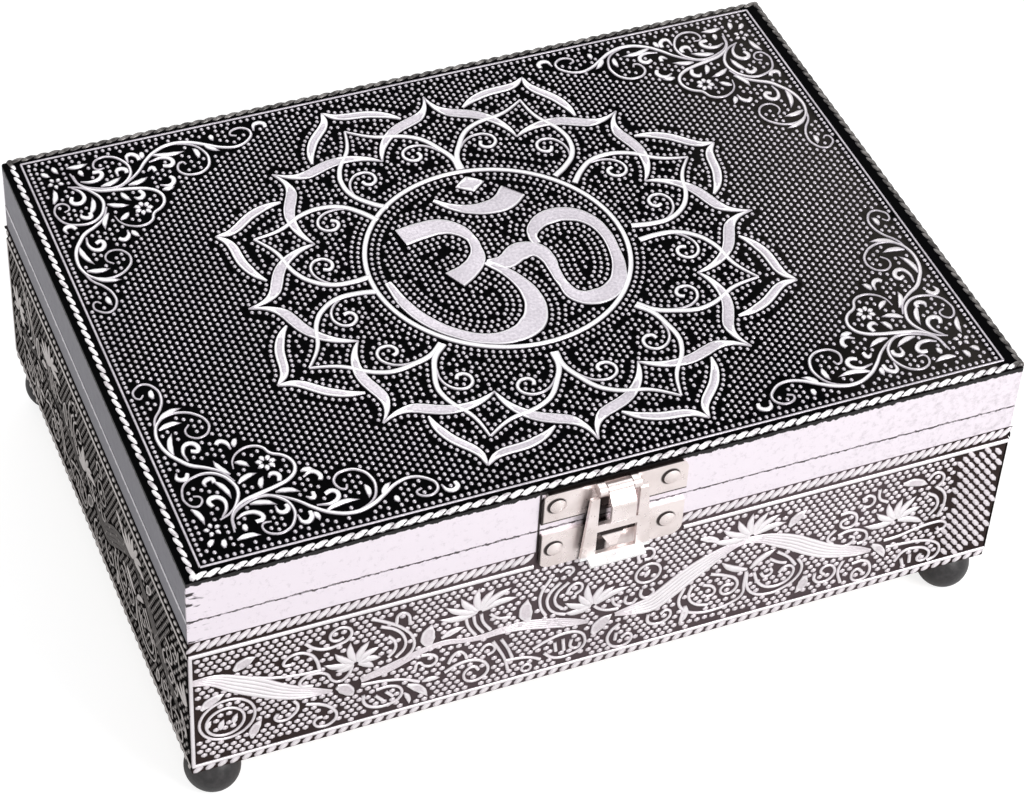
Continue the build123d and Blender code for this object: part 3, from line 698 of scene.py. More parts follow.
def polar(centre, radius, degrees):
    """The place at a distance and an angle from a centre."""
    angle = math.radians(degrees)
    return centre[0] + radius * math.cos(angle), centre[1] + radius * math.sin(angle)


def leaf(start, end, width=1.3):
    """A pointed leaf, fullest near its foot."""
    start, end = Vector(start), Vector(end)
    bend = (end - start).orthogonal() * 0.08
    points = [start, start.lerp(end, 0.33) + bend, start.lerp(end, 0.66) + bend, end]
    return [tuple(point) for point in points], (width * 0.4, width, width * 0.85, 0.1)


def rosette(centre, radius, petals=6, turn=0.0):
    """Small flower of short petals."""
    for k in range(petals):
        angle = turn + 360 * k / petals
        yield leaf(polar(centre, radius * 0.3, angle), polar(centre, radius, angle), radius * 0.55)


def ring(centre, radius, width, count=16):
    """A round line, to be closed on itself."""
    return [polar(centre, radius, 360 * k / count) for k in range(count)], (width, width)


def petal_axes(turn):
    """The direction of each petal of one ring, in degrees."""
    for number in range(lotus_petals):
        yield number, number * 360 / lotus_petals + turn


def petal_place(degrees, forward, across):
    """A place on the lid from its place along and across a petal."""
    angle = math.radians(degrees)
    u = forward * math.cos(angle) - across * math.sin(angle)
    v = forward * math.sin(angle) + across * math.cos(angle)
    return lotus_centre[0] + u, lotus_centre[1] + v


def petal_ring(profile, tip, widths, turn):
    """Both edges of each petal of one ring; the profile is in shares of the tip's distance."""
    for _, axis in petal_axes(turn):
        for side in (-1, 1):
            edge = [petal_place(axis, forward * tip, side * across * tip) for forward, across in profile]
            yield edge, widths


def lotus():
    """The broad edges of the front and back petals, round the medallion."""
    front = [(0.665, 0.276), (0.708, 0.265), (0.76, 0.24), (0.81, 0.198), (0.84, 0.155), (0.862, 0.105),
             (0.882, 0.062), (0.916, 0.029), (0.954, 0.011), (1.0, 0.0)]
    back = [(0.799, 0.205), (0.839, 0.18), (0.868, 0.153), (0.893, 0.123), (0.913, 0.088), (0.933, 0.05),
            (0.957, 0.022), (0.983, 0.008), (1.0, 0.0)]
    front_widths = (0.5, 1.1, 1.7, 2.2, 2.5, 2.6, 2.4, 1.5, 0.9, 0.5)
    back_widths = (0.7, 1.6, 2.0, 2.1, 2.1, 2.0, 1.6, 1.0, 0.5)
    half_pitch = 180 / lotus_petals
    yield from petal_ring(front, front_petal_tip, front_widths, lotus_turn)
    yield from petal_ring(back, back_petal_tip, back_widths, lotus_turn + half_pitch)


def lotus_lines():
    """The thinner lines inside the lotus: inner petals and the pair of curls that each one holds."""
    inner = [(0.674, 0.233), (0.761, 0.216), (0.805, 0.189), (0.844, 0.15), (0.889, 0.084), (0.924, 0.05),
             (0.964, 0.022), (1.0, 0.0)]
    tendril = [(34.5, 11.9), (37.2, 11.0), (39.3, 9.0), (39.8, 6.6), (38.7, 4.8), (36.8, 4.6), (35.5, 5.9),
               (35.9, 7.5), (37.2, 7.7)]
    for number, axis in petal_axes(lotus_turn + 180 / lotus_petals):
        for side in (-1, 1):
            roots = petal_roots[(number + (side > 0)) % lotus_petals]
            profile = [*roots, *inner]
            edge = [petal_place(axis, forward * inner_petal_tip, side * across * inner_petal_tip)
                    for forward, across in profile]
            yield edge, (1.5, 1.3, 1.2, 1.1, 0.9, 0.7)
            wound = [petal_place(axis, forward, side * across) for forward, across in tendril]
            yield wound, (0.6, 0.8, 0.9, 1.0)


# Strokes of the sign in the medallion, each with its breadths
om_strokes = [
    ([(-17.2, 13.2), (-12.3, 13.9), (-8.3, 13.8), (-5.1, 11.7), (-3.5, 8.5), (-3.5, 5.2), (-4.6, 2.0),
      (-7.7, -0.9), (-11.3, -2.6)],
     (5.4, 5.2, 4.8, 3.5, 2.2, 2.4, 3.8, 4.6, 5.7)),
    ([(-3.2, 0.3), (-0.4, -3.7), (1.1, -7.2), (1.9, -11.5), (1.2, -16.2), (-1.4, -20.1), (-6.2, -22.0),
      (-11.6, -21.2), (-16.5, -18.0), (-20.9, -12.7), (-23.5, -6.5), (-24.6, 0.9)],
     (1.6, 2.3, 3.0, 4.0, 4.9, 5.6, 4.1, 2.9, 2.6, 2.7, 2.5, 1.6)),
    ([(-3.0, 0.3), (0.6, -0.7), (4.8, 1.3), (8.0, 0.6), (9.4, -2.6), (9.3, -6.4), (9.4, -11.0),
      (10.6, -15.2), (14.4, -16.8), (19.2, -15.1), (22.2, -10.4), (23.6, -4.2), (23.7, 1.5),
      (22.3, 5.8), (19.0, 8.8), (14.5, 9.4), (10.6, 7.4), (9.0, 4.8), (9.0, 2.4)],
     (1.4, 4.4, 5.4, 4.2, 3.2, 2.4, 2.2, 3.4, 4.6, 4.2, 3.1, 2.4, 2.6, 3.2, 4.2, 4.4, 3.2, 2.0, 1.9)),
    ([(-6.5, 22.0), (-3.7, 19.0), (-0.5, 17.1), (3.6, 16.3), (7.4, 17.0), (10.6, 19.7)],
     (1.0, 1.8, 2.7, 4.1, 5.4, 6.0)),
    ([(-0.5, 24.6), (2.7, 24.6), (5.9, 24.6)],
     (0.4, 5.2, 0.4)),
]

# Corner foliage, in millimetres from the lid's corner: stems with their breadths, hooks and leaves
corner_stems = [
    ([(17.9, 24.9), (18.5, 27.3), (20.3, 29.1), (22.7, 29.7), (24.9, 28.7), (25.9, 26.7), (28.0, 25.3),
      (29.2, 23.3), (29.0, 20.9), (27.4, 19.1), (24.3, 17.9), (20.3, 17.0), (16.7, 16.0), (13.9, 13.4),
      (12.9, 9.0)],
     (0.4, 0.7, 0.8, 0.9, 1.0, 0.5)),
    ([(11.3, 13.0), (13.9, 14.2), (15.9, 16.6), (16.9, 19.3), (16.5, 21.7), (15.1, 24.1), (12.7, 25.5),
      (10.0, 25.3), (7.8, 24.1), (6.6, 21.7), (6.6, 19.3), (8.0, 17.7), (9.4, 18.3), (9.6, 19.9),
      (8.4, 20.5)],
     (0.5, 0.9, 0.8, 0.6, 0.6, 0.5)),
    ([(17.1, 21.7), (15.5, 24.9), (13.1, 26.9), (10.4, 28.5), (8.8, 30.5), (7.4, 32.8), (6.6, 36.0),
      (6.8, 39.2), (8.0, 41.6), (10.4, 43.0), (13.5, 42.8), (15.9, 41.2), (17.1, 39.2), (16.9, 36.8),
      (15.1, 35.2), (13.1, 35.6), (12.3, 37.6), (13.5, 39.2)],
     (0.5, 1.0, 0.9, 0.7, 0.7, 0.6, 0.5)),
    ([(7.0, 40.0), (7.8, 42.8), (9.6, 45.2), (10.7, 48.0), (10.4, 51.1), (8.4, 52.9), (6.6, 52.1),
      (5.8, 50.7), (6.6, 49.1), (7.6, 49.9)],
     (0.6, 0.7, 0.6, 0.5)),
    ([(20.3, 17.0), (23.5, 15.4), (26.6, 13.0), (29.0, 10.2), (31.8, 7.8), (35.8, 6.4), (39.8, 7.2),
      (42.9, 9.0), (46.1, 11.0), (49.3, 11.6), (52.1, 10.2), (53.3, 8.2), (52.5, 6.4), (50.1, 6.0),
      (48.9, 7.4), (50.1, 8.2)],
     (0.5, 0.9, 1.0, 0.8, 0.7, 0.6)),
    ([(36.2, 6.4), (40.2, 8.2), (41.9, 11.0), (42.1, 13.8), (40.6, 16.6), (37.8, 17.5), (35.4, 16.4),
      (35.0, 14.2), (36.4, 12.8), (37.0, 13.8)],
     (0.5, 0.8, 0.7, 0.6)),
    ([(13.3, 9.8), (13.9, 13.0), (17.1, 15.4), (21.1, 16.2), (23.9, 14.6), (25.3, 11.8), (24.7, 8.6),
      (22.3, 6.2), (19.7, 6.2), (18.3, 7.8), (18.7, 9.4), (20.3, 9.4)],
     (0.5, 0.8, 0.7, 0.5)),
]
corner_hooks = [
    [(29.8, 10.6), (33.0, 10.2), (34.6, 11.8), (33.8, 13.2), (32.2, 12.8)],
    [(11.9, 13.4), (13.5, 15.8), (13.3, 18.1), (11.7, 18.9), (10.7, 18.1), (11.1, 16.6)],
    [(10.4, 29.7), (10.2, 32.5), (11.5, 34.2), (13.1, 33.4), (12.9, 31.7), (11.7, 32.1)],
    [(19.1, 30.1), (18.7, 32.1), (17.5, 32.8), (16.7, 32.1)],
    [(14.3, 12.2), (16.3, 13.0), (18.7, 12.2), (19.1, 10.6), (17.5, 10.2)],
    [(25.5, 9.4), (26.2, 7.0), (27.8, 7.8), (28.0, 9.4)],
    [(54.1, 7.8), (54.9, 5.8), (56.8, 6.2), (56.8, 7.6)],
    [(29.8, 18.5), (31.8, 19.3), (33.0, 17.7), (32.6, 16.6)],
    [(28.6, 13.4), (29.8, 12.6), (30.2, 14.0)],
    [(7.2, 27.3), (7.0, 25.7), (8.4, 25.3), (9.2, 26.5)],
    [(22.3, 13.0), (22.7, 11.0), (24.3, 11.4), (24.3, 12.6)],
    [(11.5, 22.1), (11.5, 23.3), (13.1, 23.7), (13.3, 22.5)],
    [(23.5, 20.5), (24.3, 21.3), (25.5, 20.5), (25.1, 18.9)],
]
corner_leaves = [
    (7.0, 17.3, 8.2, 12.6), (13.3, 22.9, 15.1, 17.5), (16.9, 23.7, 14.9, 28.5), (8.2, 32.1, 9.8, 38.2),
    (7.6, 39.6, 12.5, 40.2), (8.2, 42.0, 13.7, 44.2), (19.9, 30.5, 21.1, 32.8), (17.5, 20.9, 21.9, 22.5),
    (21.3, 18.3, 22.7, 21.3), (17.9, 15.0, 22.9, 13.2), (23.5, 16.4, 28.2, 15.0), (31.0, 8.6, 38.2, 9.4),
    (40.2, 12.6, 39.8, 9.0), (42.5, 8.6, 45.3, 11.8), (9.2, 48.3, 9.6, 51.1), (12.7, 7.0, 17.5, 6.8),
    (7.2, 7.0, 8.8, 8.6), (10.0, 5.8, 10.7, 8.2), (15.1, 8.6, 15.5, 10.6), (29.8, 20.1, 32.6, 19.7),
    (28.6, 9.0, 29.0, 6.6), (18.7, 26.5, 21.1, 24.5), (44.9, 6.2, 44.9, 8.2),
]
corner_rosette = ((9.2, 11.0), 1.9)
corner_bud = ((24.3, 24.5), 2.2)


def corner_foliage():
    """The scrollwork of one corner: stems with hooks, leaves, a rosette and a bud."""
    yield from corner_stems
    for points in corner_hooks:
        yield points, (0.5, 1.1, 1.2, 1.0)
    for x0, y0, x1, y1 in corner_leaves:
        yield leaf((x0, y0), (x1, y1), 1.35)
    yield from rosette(*corner_rosette, petals=5, turn=20)
    yield from rosette(*corner_bud, petals=7)


def mirrored(strokes, side_u, side_v):
    """Moves corner strokes to one of the four corners of the lid."""
    for points, widths in strokes:
        moved = [(side_u * (half_width - u), side_v * (half_depth - v)) for u, v in points]
        yield moved, widths


# Side panels: a waving vine with lotus flowers, buds and tendrils, measured from the middle of the
# front's foot: the runs of the thick stem come first, each with its breadths

vine_runs = [
    ([(-88.0, 26.6), (-84.0, 26.0), (-79.5, 23.4), (-75.0, 20.6), (-70.0, 17.3), (-65.0, 14.9),
      (-59.5, 13.2)],
     (1.6, 3.0, 4.5, 4.9, 4.2, 3.2, 0.5)),
    ([(-53.5, 14.2), (-48.0, 15.4), (-43.5, 16.9), (-39.5, 18.2), (-35.5, 18.5), (-31.5, 17.6),
      (-28.0, 17.2), (-24.0, 17.5), (-19.0, 17.2), (-14.0, 16.0), (-9.0, 14.4), (-4.5, 13.0)],
     (1.6, 2.4, 2.0, 1.5, 1.4, 1.2, 1.5, 2.0, 2.6, 2.8, 2.4, 0.6)),
    ([(1.4, 13.0), (5.5, 13.0), (9.5, 13.4), (13.2, 15.9), (17.0, 18.9), (21.0, 21.4), (25.0, 23.5),
      (29.0, 24.7), (33.0, 24.2), (37.0, 22.5), (41.0, 20.3), (45.0, 17.5), (49.0, 15.0), (53.0, 13.3),
      (57.0, 11.9), (60.0, 11.0)],
     (0.8, 3.2, 4.8, 5.0, 4.8, 4.2, 2.8, 1.8, 2.4, 3.6, 4.2, 4.3, 4.0, 3.4, 2.6, 0.6)),
]
# Flowers: foot, then the direction and length of each petal
vine_flowers = [
    ((-54.6, 19.8), ((192, 4.4), (166, 7.0), (136, 6.2), (100, 6.6), (62, 6.2), (30, 5.8), (-4, 5.4),
      (-36, 4.8))),
    ((-28.7, 25.2), ((176, 8.8), (153, 8.4), (128, 6.8), (92, 7.0), (60, 6.4), (34, 8.2), (8, 8.4))),
    ((-3.8, 17.8), ((182, 6.4), (156, 7.0), (128, 5.4), (102, 7.2), (66, 6.0), (40, 6.2), (18, 8.6))),
    ((30.8, 26.0), ((172, 9.4), (150, 8.0), (122, 6.6), (92, 6.6), (60, 6.8), (34, 7.4), (8, 8.0))),
    ((64.8, 18.6), ((176, 7.6), (144, 6.2), (112, 6.4), (82, 6.4), (54, 7.2), (20, 6.2), (-24, 7.6))),
    ((31.2, 15.6), ((146, 8.0), (34, 7.4))),
]
# Buds and broad leaves: foot, tip and breadth
vine_buds = [
    (-79.6, 27.2, -75.0, 29.6, 2.6), (-86.4, 18.2, -81.4, 21.2, 2.3), (-76.2, 5.8, -74.0, 10.6, 2.2),
    (-58.6, 14.2, -55.0, 10.0, 3.0), (-39.2, 18.9, -38.7, 25.2, 3.4), (-17.9, 18.4, -18.3, 25.0, 3.2),
    (-36.6, 20.2, -31.6, 21.7, 1.7), (-3.2, 9.0, 0.9, 13.4, 3.2), (17.5, 9.6, 16.3, 4.2, 1.9),
    (39.4, 25.6, 43.2, 29.4, 2.4), (45.0, 8.8, 43.2, 3.8, 2.4), (60.0, 12.8, 63.7, 7.4, 2.0),
    (65.0, 29.2, 71.2, 27.0, 2.2), (-43.6, 8.8, -39.0, 3.4, 2.0), (-44.2, 6.6, -43.0, 2.6, 1.2),
    (-40.4, 8.6, -36.4, 8.2, 1.4), (19.0, 29.0, 24.0, 26.2, 1.7), (-85.4, 12.0, -84.4, 14.2, 1.3),
    (-82.6, 10.8, -81.8, 13.6, 1.4), (-79.8, 11.6, -79.0, 14.4, 1.3), (7.4, 22.0, 8.6, 24.0, 1.2),
]
vine_tendrils = [
    [(-76.0, 23.8), (-72.5, 22.3), (-67.5, 21.0), (-62.0, 20.4)],
    [(-62.2, 21.0), (-62.9, 24.0), (-64.4, 26.2), (-66.8, 27.2), (-69.0, 26.4), (-69.5, 24.8),
     (-68.2, 24.4)],
    [(-63.6, 16.4), (-66.2, 17.6), (-65.6, 19.3), (-63.0, 19.9), (-60.6, 18.7), (-59.6, 16.6),
     (-58.0, 15.6), (-56.2, 16.8), (-55.3, 19.4)],
    [(-67.6, 13.6), (-66.6, 11.5), (-67.6, 9.3), (-69.8, 8.3), (-71.4, 9.5), (-70.8, 10.9)],
    [(-65.0, 11.4), (-61.5, 9.9), (-59.2, 7.6), (-58.5, 5.4), (-59.5, 3.7), (-61.5, 3.2), (-63.1, 4.3),
     (-62.8, 6.0), (-61.5, 6.2)],
    [(-65.2, 29.6), (-63.2, 27.4), (-60.6, 26.3), (-58.4, 26.6), (-56.2, 27.6), (-55.6, 29.6),
     (-57.0, 31.2), (-59.2, 31.0), (-60.0, 29.2), (-58.8, 27.9), (-57.2, 28.4)],
    [(-51.6, 31.6), (-47.8, 29.0), (-44.6, 26.0), (-42.6, 22.5), (-42.6, 19.4), (-44.6, 17.0)],
    [(-49.6, 28.6), (-46.4, 26.5), (-44.5, 23.5), (-44.4, 20.5), (-46.2, 18.3)],
    [(-46.3, 28.2), (-45.6, 30.8), (-44.0, 30.2), (-43.4, 27.6)],
    [(-48.0, 25.2), (-46.6, 23.2), (-46.4, 20.8), (-47.8, 19.0)],
    [(-53.4, 12.7), (-48.0, 11.9), (-44.0, 10.6), (-41.0, 8.8)],
    [(-52.9, 9.4), (-52.6, 6.6), (-50.6, 4.8), (-47.2, 4.5), (-44.9, 6.0), (-45.0, 8.4), (-47.2, 9.9),
     (-50.2, 9.9)],
    [(-50.4, 8.2), (-48.8, 6.2)],
    [(-48.2, 8.6), (-46.6, 6.6)],
    [(-40.8, 16.6), (-38.4, 15.9), (-37.4, 14.3), (-38.4, 12.8), (-40.0, 13.2), (-41.4, 14.6),
     (-42.0, 13.0)],
    [(-29.9, 24.4), (-29.4, 21.6), (-27.7, 18.6)],
    [(-28.3, 24.4), (-27.8, 21.8), (-26.1, 18.8)],
    [(-31.6, 24.4), (-30.9, 21.4), (-29.3, 18.4)],
    [(-26.4, 23.6), (-24.4, 21.6), (-22.0, 21.0)],
    [(-35.6, 9.5), (-32.4, 11.0), (-28.8, 10.7), (-26.6, 8.7), (-26.2, 6.3), (-27.7, 4.7), (-30.0, 4.6),
     (-31.3, 6.3), (-30.8, 8.3), (-29.2, 8.8), (-28.2, 7.5)],
    [(-34.8, 11.9), (-33.9, 13.9), (-32.7, 14.6), (-31.5, 13.6), (-30.9, 12.0)],
    [(-27.9, 13.1), (-26.8, 14.4), (-25.3, 13.8), (-25.0, 12.1), (-26.4, 11.3)],
    [(-25.4, 15.0), (-23.7, 11.4), (-22.5, 8.4), (-21.7, 5.0)],
    [(-23.6, 15.0), (-22.0, 11.6), (-20.9, 8.4)],
    [(-22.4, 7.9), (-19.6, 7.6), (-16.8, 6.8), (-14.6, 5.4)],
    [(-11.4, 27.4), (-13.7, 24.7), (-13.9, 21.4), (-12.3, 18.7), (-9.9, 17.3)],
    [(-9.6, 26.8), (-12.1, 24.2), (-12.2, 21.4), (-10.6, 19.2)],
    [(-13.6, 29.4), (-15.5, 25.6), (-15.4, 21.4), (-14.2, 18.6)],
    [(-9.9, 23.4), (-8.9, 25.4), (-7.2, 25.6), (-6.6, 23.8), (-8.0, 22.6)],
    [(-11.8, 30.6), (-10.2, 31.4), (-8.8, 30.2), (-9.8, 28.8)],
    [(-3.6, 17.6), (-2.6, 16.4), (-0.6, 15.1), (2.0, 14.6)],
    [(-16.4, 9.2), (-13.4, 10.6), (-9.6, 11.4), (-6.4, 10.6), (-4.9, 8.3), (-5.3, 5.7), (-8.0, 4.3),
     (-11.6, 4.7), (-13.9, 7.0)],
    [(-11.6, 9.4), (-11.2, 6.6)],
    [(-9.8, 9.8), (-9.4, 6.2)],
    [(-7.9, 9.0), (-7.9, 6.6), (-6.4, 6.0), (-5.9, 7.4)],
    [(2.8, 9.8), (0.7, 7.8), (0.4, 5.0), (2.0, 2.9), (4.5, 2.7), (5.8, 4.4), (4.8, 6.0), (3.4, 5.2)],
    [(2.2, 7.2), (2.0, 5.0)],
    [(9.1, 10.2), (9.2, 7.8), (11.0, 6.5), (13.2, 6.8), (14.3, 8.5), (13.2, 10.0), (11.9, 9.2)],
    [(6.9, 18.6), (6.9, 16.6), (8.4, 15.6), (9.7, 16.8), (8.9, 18.2)],
    [(3.6, 17.8), (3.5, 15.9), (5.0, 15.1), (6.0, 16.3)],
    [(0.4, 18.6), (1.0, 16.4), (2.4, 15.2)],
    [(5.6, 27.6), (5.5, 29.6), (7.2, 30.6), (8.8, 29.3), (8.3, 27.5), (6.8, 27.4)],
    [(16.8, 15.4), (15.8, 11.6), (17.2, 8.4), (20.4, 6.4), (24.4, 5.9), (28.0, 6.6), (30.4, 8.2),
     (30.6, 11.6), (30.8, 15.4)],
    [(18.6, 15.6), (18.0, 12.2), (19.6, 9.4), (22.6, 8.0)],
    [(22.4, 17.4), (25.8, 15.8), (28.6, 13.6), (28.9, 11.2), (27.2, 9.8), (25.4, 10.8), (25.8, 12.6),
     (27.2, 12.6)],
    [(21.0, 14.6), (23.4, 13.2), (23.8, 11.2), (22.2, 10.6)],
    [(31.0, 14.8), (31.4, 10.4), (33.2, 7.6), (36.4, 6.3), (40.0, 6.8), (43.0, 9.0), (43.9, 12.0),
     (42.6, 15.0)],
    [(32.6, 14.4), (34.0, 10.6), (36.6, 8.4), (39.8, 8.4), (41.8, 10.4), (41.6, 12.8), (39.8, 13.4),
     (38.6, 12.0)],
    [(37.4, 18.8), (40.4, 16.0), (42.2, 13.2)],
    [(35.8, 17.2), (38.4, 15.2), (39.9, 14.6)],
    [(34.2, 13.6), (35.4, 12.0), (36.8, 12.8), (36.2, 14.4)],
    [(50.6, 20.6), (49.0, 18.4), (50.4, 16.4)],
    [(51.4, 18.6), (53.6, 19.2), (56.4, 18.6), (58.3, 16.8), (58.0, 14.8), (56.4, 14.4)],
    [(52.4, 14.8), (54.4, 15.0), (55.4, 16.6), (54.0, 17.4)],
    [(51.2, 24.9), (53.6, 24.8), (55.2, 22.8), (54.6, 20.6), (52.4, 20.6), (51.6, 22.4), (53.0, 23.2)],
    [(47.3, 8.7), (47.5, 6.4), (49.6, 5.1), (51.8, 6.4), (51.8, 8.8), (50.0, 10.0), (48.7, 8.9),
     (49.6, 7.4)],
    [(53.8, 10.2), (52.9, 7.4), (53.9, 3.4)],
    [(56.0, 8.4), (58.8, 8.4), (60.6, 5.8), (59.9, 3.0), (57.6, 2.6), (56.4, 4.4), (57.4, 6.2),
     (58.8, 5.0)],
    [(55.8, 27.8), (57.4, 28.4), (58.8, 26.8), (57.9, 25.2), (56.2, 25.6)],
    [(59.6, 29.6), (60.0, 26.6), (62.0, 25.0)],
    [(70.9, 28.4), (72.4, 30.0), (74.2, 29.2), (74.7, 27.3), (73.8, 25.9)],
    [(73.0, 26.0), (75.6, 23.0), (76.0, 19.6), (75.0, 16.2)],
    [(71.4, 24.4), (73.9, 22.2), (74.3, 19.4), (72.8, 17.4)],
    [(62.8, 13.1), (66.0, 13.2), (70.0, 14.1), (74.0, 14.5), (76.8, 14.0), (77.5, 12.6), (76.3, 11.7),
     (75.3, 12.7)],
    [(63.6, 10.8), (68.0, 10.4), (72.0, 9.8), (75.4, 8.3), (77.1, 6.0), (76.5, 3.6), (74.6, 2.8)],
    [(66.4, 5.4), (68.2, 7.8), (71.2, 7.9), (73.9, 6.6), (74.8, 4.6), (73.4, 3.2), (72.0, 4.2),
     (72.8, 5.6)],
    [(68.0, 5.8), (68.6, 3.6)],
    [(70.0, 6.4), (70.2, 3.8)],
]
vine_rings = [((-81.2, 13.4), 5.7), ((-81.6, 12.8), 3.9), ((8.0, 23.0), 2.7), ((-17.6, 3.9), 1.0)]


def vine():
    """The thick stem: five ribs side by side in each run, so that fine streaks run along it."""
    for points, widths in vine_runs:
        for rib in (-0.4, -0.2, 0.0, 0.2, 0.4):
            moved = []
            for k, point in enumerate(points):
                before, after = points[max(k - 1, 0)], points[min(k + 1, len(points) - 1)]
                across = (Vector(after) - Vector(before)).orthogonal().normalized()
                moved.append(tuple(Vector(point) + across * rib * widths[k]))
            yield moved, [max(0.24 * width, 0.5) for width in widths]


def panel_strokes():
    """Petals and tendrils of a side panel."""
    for foot, petals in vine_flowers:
        for angle, length in petals:
            yield leaf(polar(foot, 0.5, angle), polar(foot, length, angle), 1.9)
    for points in vine_tendrils:
        yield points, (0.9, 0.85, 0.8, 0.75, 0.9)


def panel_buds():
    """Broad buds and leaves, which keep a rim round a sunk middle."""
    for x0, y0, x1, y1, breadth in vine_buds:
        yield leaf((x0, y0), (x1, y1), breadth)


def within(strokes, half, shift):
    """The strokes that fit on a panel of that half width, moved along it by shift."""
    for points, widths in strokes:
        moved = [(point[0] + shift, point[1]) for point in points]
        if max(abs(point[0]) for point in moved) < half:
            yield moved, widths


# Pieces of the lid


def build_lid_top(materials):
    """Lid sheet: plain cover turned down at the edges, with its ornament and dots."""
    cover = bmesh.new()
    bmesh.ops.create_cube(cover, size=1.0)
    low, high = lid_low.z / MM, ground_top
    size = Matrix.Diagonal((2 * ground_half_width, 2 * ground_half_depth, high - low, 1.0))
    place = Matrix.Translation((0, middle_y, (low + high) / 2))
    bmesh.ops.transform(cover, matrix=Matrix.Scale(MM, 4) @ place @ size, verts=cover.verts)
    underside = [face for face in cover.faces if face.normal.z < -0.5]
    bmesh.ops.delete(cover, geom=underside, context="FACES")
    upper = [edge for edge in cover.edges if all(vertex.co.z > (high - 0.1) * MM for vertex in edge.verts)]
    bmesh.ops.bevel(cover, geom=upper, offset=1.0 * MM, segments=3, profile=0.5, affect="EDGES", material=-1)
    for face in cover.faces:
        # Faces across x take the end band colour, which is painted shade
        face.material_index = 0 if face.normal.z > 0.2 else (2 if abs(face.normal.x) > 0.7 else 1)
    piece = finish(cover, "lid_cover", materials["top"], "lid",
                   materials=(materials["lid_side"], materials["lid_end"]))
    wall = piece.modifiers.new("thickness", "SOLIDIFY")
    wall.thickness = sheet_thickness * MM
    wall.offset = -1.0
    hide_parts("lid_sheet")

    figures = bmesh.new()
    emboss(figures, lotus(), rounds=6, steps=4, dip=0.12)
    emboss(figures, lotus_lines(), rounds=2, steps=4)
    emboss(figures, om_strokes, rounds=6, steps=6, dip=0.12)
    circle = ring(medallion_centre, medallion_radius - medallion_line_width / 2, medallion_line_width, 48)
    emboss(figures, [circle], closed=True)
    for side_u in (-1, 1):
        for side_v in (-1, 1):
            emboss(figures, mirrored(corner_foliage(), side_u, side_v), steps=4)
    u = half_width - border_inset[0] - line_width / 2
    v = half_depth - border_inset[1] - line_width / 2
    corners = [(-u, -v), (u, -v), (u, v), (-u, v)]
    border = []
    for start, end in zip(corners, corners[1:] + corners[:1]):
        steps = [tuple(Vector(start).lerp(Vector(end), k / 90)) for k in range(91)]
        border.append((steps, (line_width, line_width)))
    emboss(figures, border, rounds=1, steps=1)
    u, v = u - line_width / 2 - border_margin, v - line_width / 2 - border_margin
    inside = ((-u, u), (-v, v))
    dots = Punching(figures, inside, lid_dot_clearance)
    dots.follow([circle], 2)
    dots.follow(om_strokes, 3)
    dots.follow(lotus(), 2)
    dots.follow(lotus_lines(), 1)
    dots.follow(border, 1)
    dots.fill(lid_dot_pitch, lid_dot_gap)
    smooth(figures)
    finish(figures, "lid_figures", materials["top"], "lid", top_face)

    marks = bmesh.new()
    stamp(marks, stamp_template(*lid_dot, dot_rise, segments=6), dots.places)
    smooth(marks)
    finish(marks, "lid_dots", materials["top"], "lid", top_face)


def build_edge_rope(material, patina):
    """The rope along the four upper edges: two strands wound round a blackened core."""
    strand_radius = 0.66 * edge_rope_radius
    orbit = edge_rope_radius - strand_radius
    u, v, z = half_width - edge_rope_inset, half_depth - edge_rope_inset, top_z - edge_rope_radius
    left = left_rope_inset - half_width
    core_width = 1.28 * edge_rope_radius
    corners = [Vector((left, -v, z)), Vector((u, -v, z)), Vector((u, v, z)), Vector((left, v, z))]
    strands = []
    cores = []
    for start, end in zip(corners, corners[1:] + corners[:1]):
        run = (end - start).normalized()
        out = run.cross(Vector((0, 0, 1)))
        turns = round((end - start).length / edge_rope_pitch)
        count = turns * 9
        cores.append(([start, start.lerp(end, 0.5), end], (core_width, core_width)))
        for phase in (0, math.pi):
            points = []
            for k in range(count + 1):
                angle = phase + 2 * math.pi * turns * k / count
                spoke = out * math.cos(angle) + Vector((0, 0, 1)) * math.sin(angle)
                points.append(start.lerp(end, k / count) + spoke * orbit)
            strands.append((points, (2 * strand_radius, 2 * strand_radius)))
    rope = bmesh.new()
    for strokes, index, sides in ((strands, 0, 1), (cores, 1, 4)):
        mesh = bars(strokes, rounds=sides, steps=1)
        for polygon in mesh.polygons:
            polygon.material_index = index
        rope.from_mesh(mesh)
        bpy.data.meshes.remove(mesh)
    for corner in corners:
        bmesh.ops.create_uvsphere(rope, u_segments=12, v_segments=8, radius=edge_rope_radius * 0.97,
                                  matrix=Matrix.Translation(corner))
    smooth(rope)
    carry = Matrix.Scale(MM, 4) @ Matrix.Translation((0, middle_y, 0))
    finish(rope, "lid_edge_rope", material, "lid", carry, materials=(patina,))


# Pieces of the body


